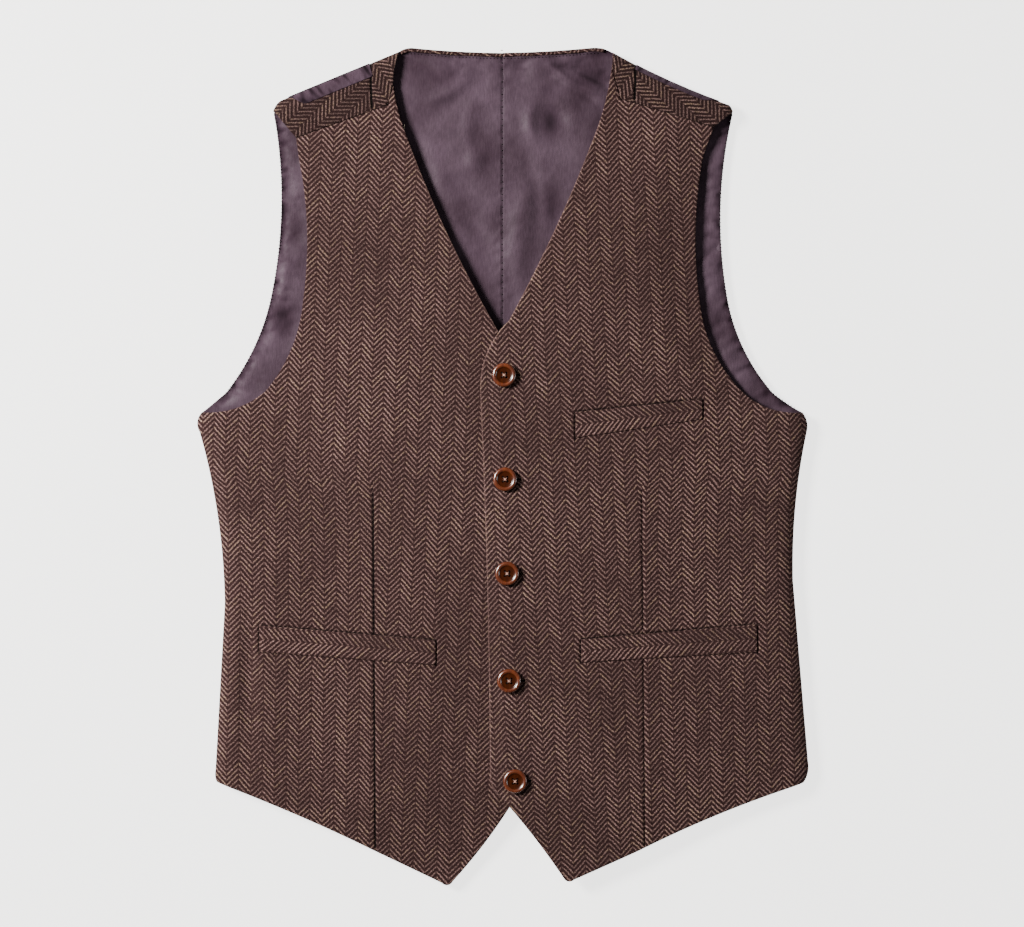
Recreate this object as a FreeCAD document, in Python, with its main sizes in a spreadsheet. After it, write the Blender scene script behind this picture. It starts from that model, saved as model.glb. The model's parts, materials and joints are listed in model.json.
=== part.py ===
"""A man's tweed waistcoat, buttoned and lying on its back.

+X is the wearer's left, +Y is towards the neck and +Z is up out of the front. The origin is on the
surface that the back rests on, under the middle of the garment. The wearer's left front laps over
the right one. Each front is one flat stack of cloth that opens about a straight fold running from
the neck edge down to the side seam. The cloth outside that fold stays with the back.
"""
import FreeCAD, Part
import os
from collections import namedtuple
from math import hypot

import Sketcher

Vector = FreeCAD.Vector
Rotation = FreeCAD.Rotation
Placement = FreeCAD.Placement

# Driving dimensions, in millimetres and degrees.
DIMENSIONS = {
    "strap_space": 3.0,          # height of the channel over the cinch straps
    "satin": 0.8,                # back cloth
    "lining": 0.5,               # back lining
    "body_gap": 4.7,             # space between the back and the fronts
    "front_lining": 0.4,
    "facing": 1.0,
    "ply_gap": 0.1,
    "canvas": 0.6,
    "tweed": 1.4,
    "welt": 1.4,
    "fold_roll": 1.8,            # how far the fold's axis lies above the tweed
    "overlap_tilt": 1.5,         # slope of the upper front, so that it clears the lower one
    "wall": 1.2,                 # thickness of the back's turned-up edge
    "shoulder_wall": 1.45,       # the same, measured straight down at the sloping shoulder
    "shoulder_clear": 1.7,
    "bag_cloth": 0.2,
    "bag_rim": 2.0,
    "mouth_width": 3.0,
    "mouth_margin": 8.0,
    "canvas_inset": 6.0,
    "canvas_point_drop": 110.0,  # how far the canvas reaches below the waist
    "canvas_top_drop": 14.0,
    "canvas_fold_step": 1.0,
    "binding_width": 4.0,
    "binding": 1.6,
    "strap_y": -95.0,
    "strap_width": 25.0,
    "strap": 0.8,
    "strap_end": 122.0,
    "strap_tail": 62.0,
    "channel_clear": 5.5,
    "slider_length": 28.0,
    "slider_width": 33.0,
    "slider_bar": 2.2,
    "slider": 1.4,
    "slider_lift": 0.4,
    "button_radius": 9.5,
    "button": 3.6,
    "button_dish_radius": 6.0,
    "button_dish": 1.1,
    "button_rim": 1.52,          # width of the rounded rim
    "button_lip": 0.95,          # half the width of the slope into the dish
    "button_hole_radius": 0.95,
    "button_hole_offset": 1.75,
    "thread_radius": 0.55,
    "shank_radius": 1.5,
    "shank_gap": 0.5,
    "shank_clear": 0.05,
    "patch_length": 25.4,
    "patch_width": 21.6,
    "patch_shift": 2.4,          # from the button to the middle of the cloth round its hole
    "slit_length": 17.4,
    "slit_width": 3.8,
    "slit_shift": 4.4,           # from the button to the middle of its hole
    "bag_side_gap": 2.0,
    "bag_top_gap": 1.0,
}

# Landmarks of the garment's outlines, as (x, y), for each side of the wearer.
LANDMARKS = {
    "left": {
        "neck_corner": (71.0, 336.0),
        "neck_shoulder": (88.0, 332.0),
        "shoulder_tip": (181.0, 290.0),
        "back_scye_top": (184.0, 284.0),
        "back_scye_notch": (179.2, 139.6),
        "back_scye_low": (216.0, 59.6),
        "underarm": (240.0, 43.6),
        "side_top": (243.5, 28.0),
        "waist": (232.5, -92.0),
        "side_low": (244.5, -236.0),
        "hem_side": (241.0, -253.0),
        "hem_mid": (105.6, -308.4),
        "point_outer": (56.5, -330.4),
        "point_inner": (48.5, -329.0),
        "cutaway_top": (-5.0, -260.0),
        "edge_low": (-10.4, -246.0),
        "edge_top": (-18.4, 63.0),
        "neck_low": (4.8, 117.0),
        "neck_high": (77.6, 277.0),
        "fold_top": (87.1, 320.0),
        "yoke_fold": (94.3, 294.6),
        "yoke_end": (168.8, 272.0),
        "scye_upper": (160.0, 247.0),
        "scye_notch": (157.6, 133.0),
        "scye_low": (187.2, 65.0),
        "facing_top": (112.0, 232.0),
        "facing_chest": (66.0, 60.0),
        "facing_waist": (50.0, -180.0),
        "canvas_side": (150.0, 64.0),
        "canvas_waist": (72.0, -70.0),
    },
    "right": {
        "neck_corner": (-73.0, 336.0),
        "neck_shoulder": (-83.0, 333.0),
        "shoulder_tip": (-178.4, 293.2),
        "back_scye_top": (-184.0, 285.0),
        "back_scye_notch": (-185.6, 139.6),
        "back_scye_low": (-222.4, 59.6),
        "underarm": (-241.6, 43.6),
        "side_top": (-243.2, 27.6),
        "waist": (-223.2, -110.0),
        "side_low": (-230.6, -243.0),
        "hem_side": (-229.6, -252.5),
        "hem_mid": (-101.6, -308.4),
        "point_outer": (-49.0, -333.6),
        "point_inner": (-40.5, -332.5),
        "cutaway_top": (14.0, -258.0),
        "edge_low": (16.0, -244.0),
        "edge_top": (16.0, 60.0),
        "neck_low": (-3.2, 107.6),
        "neck_high": (-81.6, 277.0),
        "fold_top": (-88.0, 306.0),
        "yoke_fold": (-92.3, 289.5),
        "yoke_end": (-165.6, 263.0),
        "scye_upper": (-163.0, 245.0),
        "scye_notch": (-160.0, 133.0),
        "scye_low": (-189.6, 61.0),
        "facing_top": (-107.2, 232.0),
        "facing_chest": (-64.0, 60.0),
        "facing_waist": (-42.0, -180.0),
        "canvas_side": (-160.0, 20.0),
        "canvas_waist": (-68.0, -70.0),
    },
    "middle": {
        "neck": (0.0, 332.0),
        "hem": (0.0, -262.0),
    },
    "button": {
        "1": (0.8, 73.2),
        "2": (1.6, -10.0),
        "3": (3.2, -85.2),
        "4": (4.8, -170.8),
        "5": (9.6, -250.8),
    },
}

# How far the middle of each curved edge stands out of the straight line between its two landmarks,
# as (left side, right side). It is positive where the edge swells away from the cloth.
CURVES = {
    ("neck", "neck_corner"): (-0.8, -0.8),
    ("neck_corner", "neck_shoulder"): (1.5, 0.8),
    ("neck_shoulder", "shoulder_tip"): (-2.2, 0.0),
    ("shoulder_tip", "back_scye_top"): (0.8, 0.9),
    ("back_scye_top", "back_scye_notch"): (-7.0, -6.8),
    ("back_scye_notch", "back_scye_low"): (-6.3, -5.3),
    ("back_scye_low", "underarm"): (-0.8, 0.0),
    ("underarm", "side_top"): (2.0, 2.8),
    ("side_top", "waist"): (-3.6, -4.6),
    ("side_low", "hem_side"): (1.8, 0.8),
    ("hem_side", "hem_mid"): (-2.7, -1.8),
    ("point_outer", "point_inner"): (2.0, 2.3),
    ("point_inner", "cutaway_top"): (-1.5, 2.5),
    ("cutaway_top", "edge_low"): (2.0, 1.5),
    ("edge_low", "edge_top"): (-1.6, 0.0),
    ("edge_top", "neck_low"): (6.0, 5.0),
    ("neck_low", "neck_high"): (-3.3, -4.3),
    ("neck_high", "fold_top"): (-1.0, -0.5),
    ("fold_top", "neck_shoulder"): (0.0, -1.2),
    ("shoulder_tip", "yoke_end"): (-1.0, -1.0),
    ("scye_upper", "scye_notch"): (-4.5, -4.7),
    ("scye_notch", "scye_low"): (-6.0, -6.0),
    ("scye_low", "underarm"): (-7.3, -5.7),
}

# Pockets: middle of the welt, its length, how far it rises towards the side seam, and its height at
# the end nearer the buttons and at the end nearer the side.
POCKETS = {
    "left_hip": {"x": 132.8, "y": -142.2, "length": 140.8, "rise": 10.0,
                 "inner": 18.4, "outer": 22.4, "depth": 95.0},
    "right_hip": {"x": -124.4, "y": -143.3, "length": 141.0, "rise": 11.1,
                  "inner": 20.0, "outer": 21.4, "depth": 95.0},
    "left_breast": {"x": 108.8, "y": 39.6, "length": 101.6, "rise": 12.8,
                    "inner": 20.8, "outer": 16.0, "depth": 88.0},
}

SIGN = {"left": 1, "right": -1}
BEYOND = 400.0                   # farther out than any part of the garment
BUTTONS = list(LANDMARKS["button"])

MOVING_EDGE = ["fold_top", "neck_high", "neck_low", "edge_top", "edge_low", "cutaway_top",
               "point_inner", "point_outer", "hem_mid", "hem_side", "side_low"]
SIDE_EDGE = ["yoke_end", "scye_upper", "scye_notch", "scye_low", "underarm", "side_top", "waist",
             "side_low"]
BACK_EDGE = ["neck_corner", "neck_shoulder", "shoulder_tip", "back_scye_top", "back_scye_notch",
             "back_scye_low", "underarm", "side_top", "waist", "side_low", "hem_side"]

doc = FreeCAD.newDocument("waistcoat")
sheet = doc.addObject("Spreadsheet::Sheet", "dims")


def fill_sheet():
    """Write every driving dimension into the spreadsheet, one named cell each."""
    cells = dict(DIMENSIONS)
    for group, spots in LANDMARKS.items():
        for name, (x, y) in spots.items():
            cells[f"{group}_{name}_x"] = x
            cells[f"{group}_{name}_y"] = y
    for pocket, sizes in POCKETS.items():
        for name, size in sizes.items():
            cells[f"{pocket}_pocket_{name}"] = size
    for row, (name, size) in enumerate(cells.items(), start=1):
        sheet.set(f"A{row}", name)
        sheet.set(f"B{row}", str(size))
        sheet.setAlias(f"B{row}", name)
    doc.recompute()


def value(rule):
    """The number that an expression over the sheet gives."""
    return float(sheet.evalExpression(rule))


def dim(name):
    return value(f"dims.{name}")


# Heights of the layers, as expressions over the sheet.
LINING_Z = "dims.strap_space + dims.satin"
FRONT_Z = f"{LINING_Z} + dims.lining + dims.body_gap"
CANVAS_Z = f"{FRONT_Z} + dims.facing + dims.ply_gap"
TWEED_Z = f"{CANVAS_Z} + dims.canvas + dims.ply_gap"
TOP_Z = f"{TWEED_Z} + dims.tweed"
FOLD_Z = f"{TOP_Z} + dims.fold_roll"

Spot = namedtuple("Spot", "side name x y x_rule y_rule")


def landmark(side, name, inward="0", down="0"):
    """A corner of an outline at a landmark, moved towards the middle or down if asked."""
    x_rule = f"dims.{side}_{name}_x - ({SIGN.get(side, 1)}) * ({inward})"
    y_rule = f"dims.{side}_{name}_y - ({down})"
    return Spot(side, name, value(x_rule), value(y_rule), x_rule, y_rule)


def free(x, y):
    """A corner that is worked out in place."""
    return Spot(None, None, x, y, None, None)


def bulge(a, b):
    """How far the edge from a to b bends to the left of its direction."""
    side = a.side if a.side in SIGN else b.side
    if side not in SIGN:
        return 0.0
    column = 0 if side == "left" else 1
    forward = CURVES.get((a.name, b.name))
    backward = CURVES.get((b.name, a.name))
    # The pairs in CURVES run anticlockwise on the right side and clockwise on the left.
    if forward:
        return forward[column] * SIGN[side]
    if backward:
        return -backward[column] * SIGN[side]
    return 0.0


def edge_geometry(a, b):
    start, end = Vector(a.x, a.y, 0), Vector(b.x, b.y, 0)
    stand = bulge(a, b)
    if stand == 0.0:
        return Part.LineSegment(start, end)
    along = end - start
    left = Vector(-along.y, along.x, 0).normalize()
    return Part.Arc(start, (start + end) * 0.5 + left * stand, end)


def plane(body, role):
    return next(item for item in body.Origin.OriginFeatures if item.Role == role)


def new_sketch(body, name, level, role="XY_Plane"):
    sketch = body.newObject("Sketcher::SketchObject", f"{body.Name}_{name}")
    sketch.AttachmentSupport = [(plane(body, role), "")]
    sketch.MapMode = "FlatFace"
    sketch.setExpression("AttachmentOffset.Base.z", level)
    return sketch


def end_at(sketch, index, spot):
    """Which end of an edge lies at the spot: 1 for its start, 2 for its end."""
    start = sketch.getPoint(index, 1)
    return 1 if hypot(start.x - spot.x, start.y - spot.y) < 1e-4 else 2


def draw(body, name, level, spots):
    """A closed outline through the spots, each landmark pinned to its cells in the sheet."""
    sketch = new_sketch(body, name, level)
    for index, spot in enumerate(spots):
        following = spots[(index + 1) % len(spots)]
        sketch.addGeometry(edge_geometry(spot, following))
    for index, spot in enumerate(spots):
        before = (index - 1) % len(spots)
        here = end_at(sketch, index, spot)
        sketch.addConstraint(Sketcher.Constraint("Coincident", before, end_at(sketch, before, spot),
                                                 index, here))
        if spot.x_rule is None:
            continue
        for kind, size, rule in (("DistanceX", spot.x, spot.x_rule),
                                 ("DistanceY", spot.y, spot.y_rule)):
            pin = sketch.addConstraint(Sketcher.Constraint(kind, -1, 1, index, here, size))
            sketch.setExpression(f"Constraints[{pin}]", rule)
    return sketch


def new_body(label):
    body = doc.addObject("PartDesign::Body", label)
    body.Label = label
    return body


def pad(body, sketch, thickness):
    feature = body.newObject("PartDesign::Pad", f"{sketch.Name}_pad")
    feature.Profile = (sketch, [""])
    feature.setExpression("Length", thickness)
    return feature


def pocket(body, sketch, depth):
    """Cut upwards from the sketch, and make sure that something was cut away."""
    doc.recompute()
    before = body.Shape.Volume
    feature = body.newObject("PartDesign::Pocket", f"{sketch.Name}_pocket")
    feature.Profile = (sketch, [""])
    feature.Reversed = True
    feature.setExpression("Length", depth)
    doc.recompute()
    if body.Shape.Volume > before - 0.01:
        raise ValueError(f"{sketch.Name} cuts nothing")
    return feature


def flat_piece(label, level, thickness, spots):
    """A flat piece of cloth: one outline, padded."""
    body = new_body(label)
    pad(body, draw(body, "outline", level, spots), thickness)
    return body


def cut_window(body, name, level, depth, spots):
    pocket(body, draw(body, name, level, spots), f"2 * ({depth})")


def outline(side, names):
    return [landmark(side, name) for name in names]


def rectangle(x_low, x_high, y_low, y_high):
    return [free(x_low, y_low), free(x_high, y_low), free(x_high, y_high), free(x_low, y_high)]


# The back.

def wall_strip(side, names):
    """A strip along an edge of the back, as wide as the wall."""
    outer = outline(side, names)
    inner = [landmark(side, name, inward="dims.wall") for name in reversed(names)]
    return outer + inner


def back_outer(side):
    """One half of the satin back, with its edges turned up to the front at the side and shoulder,
    and a raised channel over the cinch strap."""
    body = new_body(f"back_outer_{side}")
    spots = [landmark("middle", "neck"), *outline(side, BACK_EDGE), landmark("middle", "hem")]
    pad(body, draw(body, "floor", "0", spots), "dims.satin")

    sign = SIGN[side]
    end = sign * dim("strap_end")
    half = dim("strap_width") / 2 + dim("channel_clear")
    low, high = dim("strap_y") - half, dim("strap_y") + half
    channel = rectangle(0.0, end, low, high)
    cut_window(body, "channel", "0", "dims.satin", channel)

    rise = f"{FRONT_Z} - dims.satin"
    side_names = ["underarm", "side_top", "waist", "side_low", "hem_side"]
    pad(body, draw(body, "side_wall", "dims.satin", wall_strip(side, side_names)), rise)
    shoulder = outline(side, ["neck_shoulder", "shoulder_tip"])
    shoulder += [landmark(side, "shoulder_tip", down="dims.shoulder_wall"),
                 landmark(side, "neck_shoulder", down="dims.shoulder_wall")]
    pad(body, draw(body, "shoulder_wall", "dims.satin", shoulder), rise)

    wall = dim("satin")
    far = end + sign * wall
    rim = [free(0.0, low - wall), free(far, low - wall), free(far, high + wall),
           free(0.0, high + wall), free(0.0, high), free(end, high), free(end, low), free(0.0, low)]
    pad(body, draw(body, "channel_wall", "dims.satin", rim), "dims.strap_space - dims.satin")
    roof = rectangle(0.0, far, low - wall, high + wall)
    pad(body, draw(body, "channel_roof", "dims.strap_space", roof), "dims.satin")
    return body


def back_lining(side):
    """One half of the back lining, lying inside the turned-up edges."""
    clear = "dims.wall + dims.ply_gap"
    spots = [landmark("middle", "neck")]
    for name in BACK_EDGE:
        at_side = name in ("underarm", "side_top", "waist", "side_low", "hem_side")
        at_shoulder = name in ("neck_shoulder", "shoulder_tip", "back_scye_top")
        inward = clear if at_side else "0"
        down = "dims.shoulder_clear" if at_shoulder else "0"
        spots.append(landmark(side, name, inward, down))
    spots.append(landmark("middle", "hem"))
    return flat_piece(f"back_lining_{side}", LINING_Z, "dims.lining", spots)


def neck_binding():
    """The narrow tweed edge round the back of the neck."""
    names = [("left", "neck_corner"), ("middle", "neck"), ("right", "neck_corner")]
    outer = [landmark(side, name) for side, name in names]
    inner = [landmark(side, name, down="dims.binding_width") for side, name in reversed(names)]
    return flat_piece("back_neck_binding", f"{LINING_Z} + dims.lining", "dims.binding", outer + inner)


def cinch_strap(side):
    """A flat satin strap. The left one ends at the slider, and the right one runs through it."""
    sign = SIGN[side]
    half = dim("strap_width") / 2
    low, high = dim("strap_y") - half, dim("strap_y") + half
    outer_end = sign * (dim("strap_end") - dim("ply_gap"))
    if side == "left":
        inner_end = dim("slider_length") / 2
        level = "(dims.strap_space - dims.slider) / 2"
    else:
        inner_end = dim("strap_tail")
        level = "dims.strap_space - dims.ply_gap - dims.strap"
    spots = rectangle(min(inner_end, outer_end), max(inner_end, outer_end), low, high)
    return flat_piece(f"cinch_strap_{side}", level, "dims.strap", spots)


def strap_slider():
    """The metal slider that the two straps meet in: a frame with a bar across its middle."""
    body = new_body("strap_slider")
    level = "dims.slider_lift"
    half_x, half_y = dim("slider_length") / 2, dim("slider_width") / 2
    middle, bar = dim("strap_y"), dim("slider_bar")
    pad(body, draw(body, "plate", level, rectangle(-half_x, half_x, middle - half_y, middle + half_y)),
        "dims.slider")
    windows = {"left_window": (bar / 2, half_x - bar), "right_window": (bar - half_x, -bar / 2)}
    for name, (start, end) in windows.items():
        spots = rectangle(start, end, middle - half_y + bar, middle + half_y - bar)
        cut_window(body, name, level, "dims.slider", spots)
    return body


# The fronts.

def pocket_line(name):
    """The two ends of a pocket's middle line, the end nearer the buttons first."""
    side = name.split("_")[0]
    cell = f"{name}_pocket"
    reach = SIGN[side] * dim(f"{cell}_length") / 2
    lift = dim(f"{cell}_rise") / 2
    x, y = dim(f"{cell}_x"), dim(f"{cell}_y")
    return Vector(x - reach, y - lift, 0), Vector(x + reach, y + lift, 0)


def band(start, end, start_height, end_height):
    """A four-sided strip about a line, with its ends upright."""
    return [free(start.x, start.y - start_height / 2), free(end.x, end.y - end_height / 2),
            free(end.x, end.y + end_height / 2), free(start.x, start.y + start_height / 2)]


def pocket_mouth(name):
    start, end = pocket_line(name)
    step = (end - start).normalize() * dim("mouth_margin")
    width = dim("mouth_width")
    return band(start + step, end - step, width, width)


def pocket_welt(name):
    start, end = pocket_line(name)
    inner, outer = dim(f"{name}_pocket_inner"), dim(f"{name}_pocket_outer")
    return flat_piece(f"{name}_welt", TOP_Z, "dims.welt", band(start, end, inner, outer))


def pocket_bag(name):
    """A flat bag of two layers joined round its sides and bottom, with its mouth at the top."""
    body = new_body(f"{name}_pocket_bag")
    start, end = pocket_line(name)
    step = (end - start).normalize()
    gap = step * dim("bag_side_gap")
    top_a, top_b = start + gap, end - gap
    drop = Vector(0, -dim(f"{name}_pocket_depth"), 0)
    low_a, low_b = top_a + drop, top_b + drop
    rim = dim("bag_rim")
    across, up = step * rim, Vector(0, rim, 0)
    layer = [free(spot.x, spot.y) for spot in (low_a, low_b, top_b, top_a)]
    edge = [top_a, low_a, low_b, top_b, top_b - across, low_b - across + up, low_a + across + up,
            top_a + across]
    pad(body, draw(body, "back_layer", CANVAS_Z, layer), "dims.bag_cloth")
    second = f"{CANVAS_Z} + dims.bag_cloth"
    pad(body, draw(body, "rim", second, [free(spot.x, spot.y) for spot in edge]), "dims.bag_cloth")
    third = f"{CANVAS_Z} + 2 * dims.bag_cloth"
    pad(body, draw(body, "front_layer", third, layer), "dims.bag_cloth")
    return body


def button_patch(number):
    """The cloth round one buttonhole, wide enough for the button to pass when it is left out."""
    x, y = dim(f"button_{number}_x") + dim("patch_shift"), dim(f"button_{number}_y")
    half_x, half_y = dim("patch_length") / 2, dim("patch_width") / 2
    return rectangle(x - half_x, x + half_x, y - half_y, y + half_y)


def button_slit(number):
    """The hole itself, with the button's shank near its end at the front edge."""
    x, y = dim(f"button_{number}_x") + dim("slit_shift"), dim(f"button_{number}_y")
    half_x, half_y = dim("slit_length") / 2, dim("slit_width") / 2
    return rectangle(x - half_x, x + half_x, y - half_y, y + half_y)


def cut_buttonholes(body, level, depth, laps):
    """Windows in the upper front, which the buttonholes fill."""
    if not laps:
        return
    for number in BUTTONS:
        cut_window(body, f"window_{number}", level, depth, button_patch(number))


def forepart(side, pockets, laps):
    body = flat_piece(f"{side}_forepart", TWEED_Z, "dims.tweed", outline(side, MOVING_EDGE))
    for name in pockets:
        cut_window(body, f"{name}_mouth", TWEED_Z, "dims.tweed", pocket_mouth(name))
    cut_buttonholes(body, TWEED_Z, "dims.tweed", laps)
    return body


def facing(side, laps):
    """The tweed strip inside the neck, front edge and point."""
    body = flat_piece(f"{side}_facing", FRONT_Z, "dims.facing", outline(side, MOVING_EDGE))
    out = SIGN[side] * BEYOND
    spots = outline(side, ["facing_top", "facing_chest", "facing_waist", "hem_mid"])
    spots += [free(dim(f"{side}_hem_mid_x"), -BEYOND), free(out, -BEYOND),
              free(out, dim(f"{side}_facing_top_y"))]
    cut_window(body, "inside", FRONT_Z, "dims.facing", spots)
    cut_buttonholes(body, FRONT_Z, "dims.facing", laps)
    return body


def front_lining(side):
    """The satin inside the front, from the facing to the fold."""
    body = flat_piece(f"{side}_lining", FRONT_Z, "dims.front_lining", outline(side, MOVING_EDGE))
    across = -SIGN[side] * BEYOND
    spots = outline(side, ["facing_top", "facing_chest", "facing_waist", "hem_mid"])
    spots += [free(dim(f"{side}_hem_mid_x"), -BEYOND), free(across, -BEYOND), free(across, BEYOND),
              free(dim(f"{side}_facing_top_x"), BEYOND)]
    cut_window(body, "facing_area", FRONT_Z, "dims.front_lining", spots)
    return body


def canvas(side, laps):
    """The stiffening between the tweed and the facing, over the chest and down the front edge."""
    inset = "-dims.canvas_inset"
    spots = [landmark(side, name, inward=inset)
             for name in ("neck_high", "neck_low", "edge_top", "edge_low", "cutaway_top")]
    spots += [landmark(side, "point_inner", inward=inset, down="-dims.canvas_inset"),
              landmark(side, "facing_waist", down="dims.canvas_point_drop"),
              landmark(side, "facing_waist"),
              landmark(side, "canvas_waist"),
              landmark(side, "canvas_side"),
              landmark(side, "fold_top", inward="-dims.canvas_fold_step", down="dims.canvas_top_drop")]
    body = flat_piece(f"{side}_canvas", CANVAS_Z, "dims.canvas", spots)
    if side == "left":
        start, end = pocket_line("left_breast")
        gap, lift = dim("bag_top_gap"), dim("mouth_width")
        sink = dim("left_breast_pocket_depth") + gap
        corners = [free(start.x - gap, start.y + lift), free(start.x - gap, start.y - sink),
                   free(end.x + gap, end.y - sink), free(end.x + gap, end.y + lift)]
        cut_window(body, "bag_area", CANVAS_Z, "dims.canvas", corners)
    cut_buttonholes(body, CANVAS_Z, "dims.canvas", laps)
    return body


def buttonhole(number):
    """The worked cloth round one buttonhole, through all layers of the upper front."""
    depth = f"{TOP_Z} - ({FRONT_Z})"
    body = flat_piece(f"buttonhole_{number}", FRONT_Z, depth, button_patch(number))
    cut_window(body, "slit", FRONT_Z, depth, button_slit(number))
    return body


def side_forepart(side):
    """The tweed between the fold and the side seam, which stays with the back."""
    names = ["yoke_fold", *SIDE_EDGE]
    return flat_piece(f"{side}_side_forepart", TWEED_Z, "dims.tweed", outline(side, names))


def side_lining(side):
    names = ["fold_top", "neck_shoulder", "shoulder_tip", *SIDE_EDGE]
    return flat_piece(f"{side}_side_lining", FRONT_Z, "dims.front_lining", outline(side, names))


def shoulder_yoke(side):
    """The bias-cut tweed along the shoulder."""
    names = ["fold_top", "neck_shoulder", "shoulder_tip", "back_scye_top", "yoke_end", "yoke_fold"]
    return flat_piece(f"{side}_shoulder_yoke", TWEED_Z, "dims.tweed", outline(side, names))


# The buttons.

def circle_sketch(body, name, level, x, y, radius_rule):
    sketch = new_sketch(body, name, level)
    sketch.addGeometry(Part.Circle(Vector(x, y, 0), Vector(0, 0, 1), value(radius_rule)))
    size = sketch.addConstraint(Sketcher.Constraint("Radius", 0, value(radius_rule)))
    sketch.setExpression(f"Constraints[{size}]", radius_rule)
    return sketch


def four_round(body, feature):
    """Repeat a feature at four places round the body's Z axis."""
    pattern = body.newObject("PartDesign::PolarPattern", f"{feature.Name}_pattern")
    pattern.Originals = [feature]
    pattern.Axis = (plane(body, "Z_Axis"), [""])
    pattern.Angle = 360
    pattern.Occurrences = 4
    body.Tip = pattern
    return pattern


def button_profile():
    """Half of a button's section: a dished disc with a rounded rim."""
    radius, height = dim("button_radius"), dim("button")
    dish, floor = dim("button_dish_radius"), dim("button") - dim("button_dish")
    shoulder, slope = dim("button_rim"), dim("button_lip")
    axis_low, base = Vector(0, 0, 0), Vector(radius - shoulder, 0, 0)
    belly = Vector(radius, 0.45 * height, 0)
    crown = Vector(radius - shoulder, height, 0)
    lip, sink = Vector(dish + slope, height, 0), Vector(dish - slope, floor, 0)
    middle = Vector(0, floor, 0)
    rim_low = Vector(radius - 0.25 * shoulder, 0.15 * height, 0)
    rim_high = Vector(radius - 0.25 * shoulder, 0.85 * height, 0)
    dip = (lip + sink) * 0.5 + Vector(0.1 * slope, -0.1 * slope, 0)
    return [Part.LineSegment(axis_low, base), Part.Arc(base, rim_low, belly),
            Part.Arc(belly, rim_high, crown), Part.LineSegment(crown, lip),
            Part.Arc(lip, dip, sink), Part.LineSegment(sink, middle),
            Part.LineSegment(middle, axis_low)]


def button(number, place):
    body = new_body(f"button_{number}")
    sketch = new_sketch(body, "section", "0", "XZ_Plane")
    sketch.addGeometry(button_profile())
    turn = body.newObject("PartDesign::Revolution", f"{sketch.Name}_turn")
    turn.Profile = (sketch, [""])
    turn.ReferenceAxis = (sketch, ["V_Axis"])
    turn.Angle = 360
    offset = dim("button_hole_offset")
    hole = circle_sketch(body, "hole", "0", offset, offset, "dims.button_hole_radius")
    four_round(body, pocket(body, hole, "dims.button"))
    body.Placement = place
    return body


def button_thread(number, place):
    """The thread that holds a button: four legs through its holes, crossed on top."""
    body = new_body(f"button_thread_{number}")
    radius, offset = dim("thread_radius"), dim("button_hole_offset")
    floor = "dims.button - dims.button_dish"
    reach, half_width = offset + 0.6 * radius, 0.7 * radius
    first = Vector(reach, reach, 0)
    side = Vector(-half_width, half_width, 0)
    inner = Vector(0, 1.4 * half_width, 0)
    arm = [first - side, first + side, inner]
    spots = []
    for turn in range(4):
        spin = Rotation(Vector(0, 0, 1), 90 * turn)
        spots += [free(*spin.multVec(spot)[:2]) for spot in arm]
    pad(body, draw(body, "cross", floor, spots), "dims.thread_radius")
    leg = circle_sketch(body, "leg", "0", offset, offset, "dims.thread_radius")
    four_round(body, pad(body, leg, floor))
    body.Placement = place
    return body


def button_shank(number, base, height):
    """The wound stem of thread between the lower front and its button."""
    shank = doc.addObject("Part::Cylinder", f"button_shank_{number}")
    shank.Label = f"button_shank_{number}"
    shank.setExpression("Radius", "dims.shank_radius")
    shank.Height = height
    shank.Placement = Placement(base, Rotation())
    return shank


def fold_axis(side):
    """A point on the fold's axis and its direction, positive when the front lifts open."""
    top = landmark(side, "fold_top")
    low = landmark(side, "side_low")
    height = value(FOLD_Z)
    along = Vector(low.x - top.x, low.y - top.y, 0).normalize()
    return Vector(top.x, top.y, height), along * -SIGN[side]


def build():
    """Make every sub-part, and return them all."""
    parts = []
    for side in SIGN:
        parts += [back_outer(side), back_lining(side), cinch_strap(side)]
        parts += [side_forepart(side), side_lining(side), shoulder_yoke(side)]
    parts += [neck_binding(), strap_slider()]

    right_pockets = ["right_hip"]
    parts += [forepart("right", right_pockets, False), canvas("right", False),
              facing("right", False), front_lining("right")]
    for name in right_pockets:
        parts += [pocket_welt(name), pocket_bag(name)]

    left_pockets = ["left_breast", "left_hip"]
    upper = [forepart("left", left_pockets, True), canvas("left", True), facing("left", True),
             front_lining("left")]
    for name in left_pockets:
        upper += [pocket_welt(name), pocket_bag(name)]
    upper += [buttonhole(number) for number in BUTTONS]
    centre, axis = fold_axis("left")
    tilt = Placement(Vector(), Rotation(axis, dim("overlap_tilt")), centre)
    for body in upper:
        body.Placement = tilt
    parts += upper

    top = value(TOP_Z)
    for number in BUTTONS:
        foot = Vector(dim(f"button_{number}_x"), dim(f"button_{number}_y"), top)
        height = tilt.multVec(foot).z + dim("shank_gap") - top
        seat = Placement(foot + Vector(0, 0, height), Rotation())
        parts += [button(number, seat), button_thread(number, seat),
                  button_shank(number, foot, height - dim("shank_clear"))]
    return parts


def check(parts):
    """Stop if any object failed, or if any sub-part isn't one valid closed solid."""
    for item in doc.Objects:
        if "Invalid" in item.State or "Error" in item.State:
            raise ValueError(f"{item.Label} failed: {item.State}")
    for part in parts:
        shape = part.Shape
        if shape.isNull() or not shape.isValid() or len(shape.Solids) != 1:
            raise ValueError(f"{part.Label} is not one valid solid")


def main():
    fill_sheet()
    parts = build()
    doc.recompute()
    check(parts)
    os.makedirs("parts", exist_ok=True)
    for part in parts:
        part.Shape.exportStep(f"parts/{part.Label}.step")
    for side in SIGN:
        centre, axis = fold_axis(side)
        print(side, "fold passes", centre, "along", axis)
    box = FreeCAD.BoundBox()
    for part in parts:
        box.add(part.Shape.BoundBox)
    print(len(parts), "parts in", box)


main()
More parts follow.
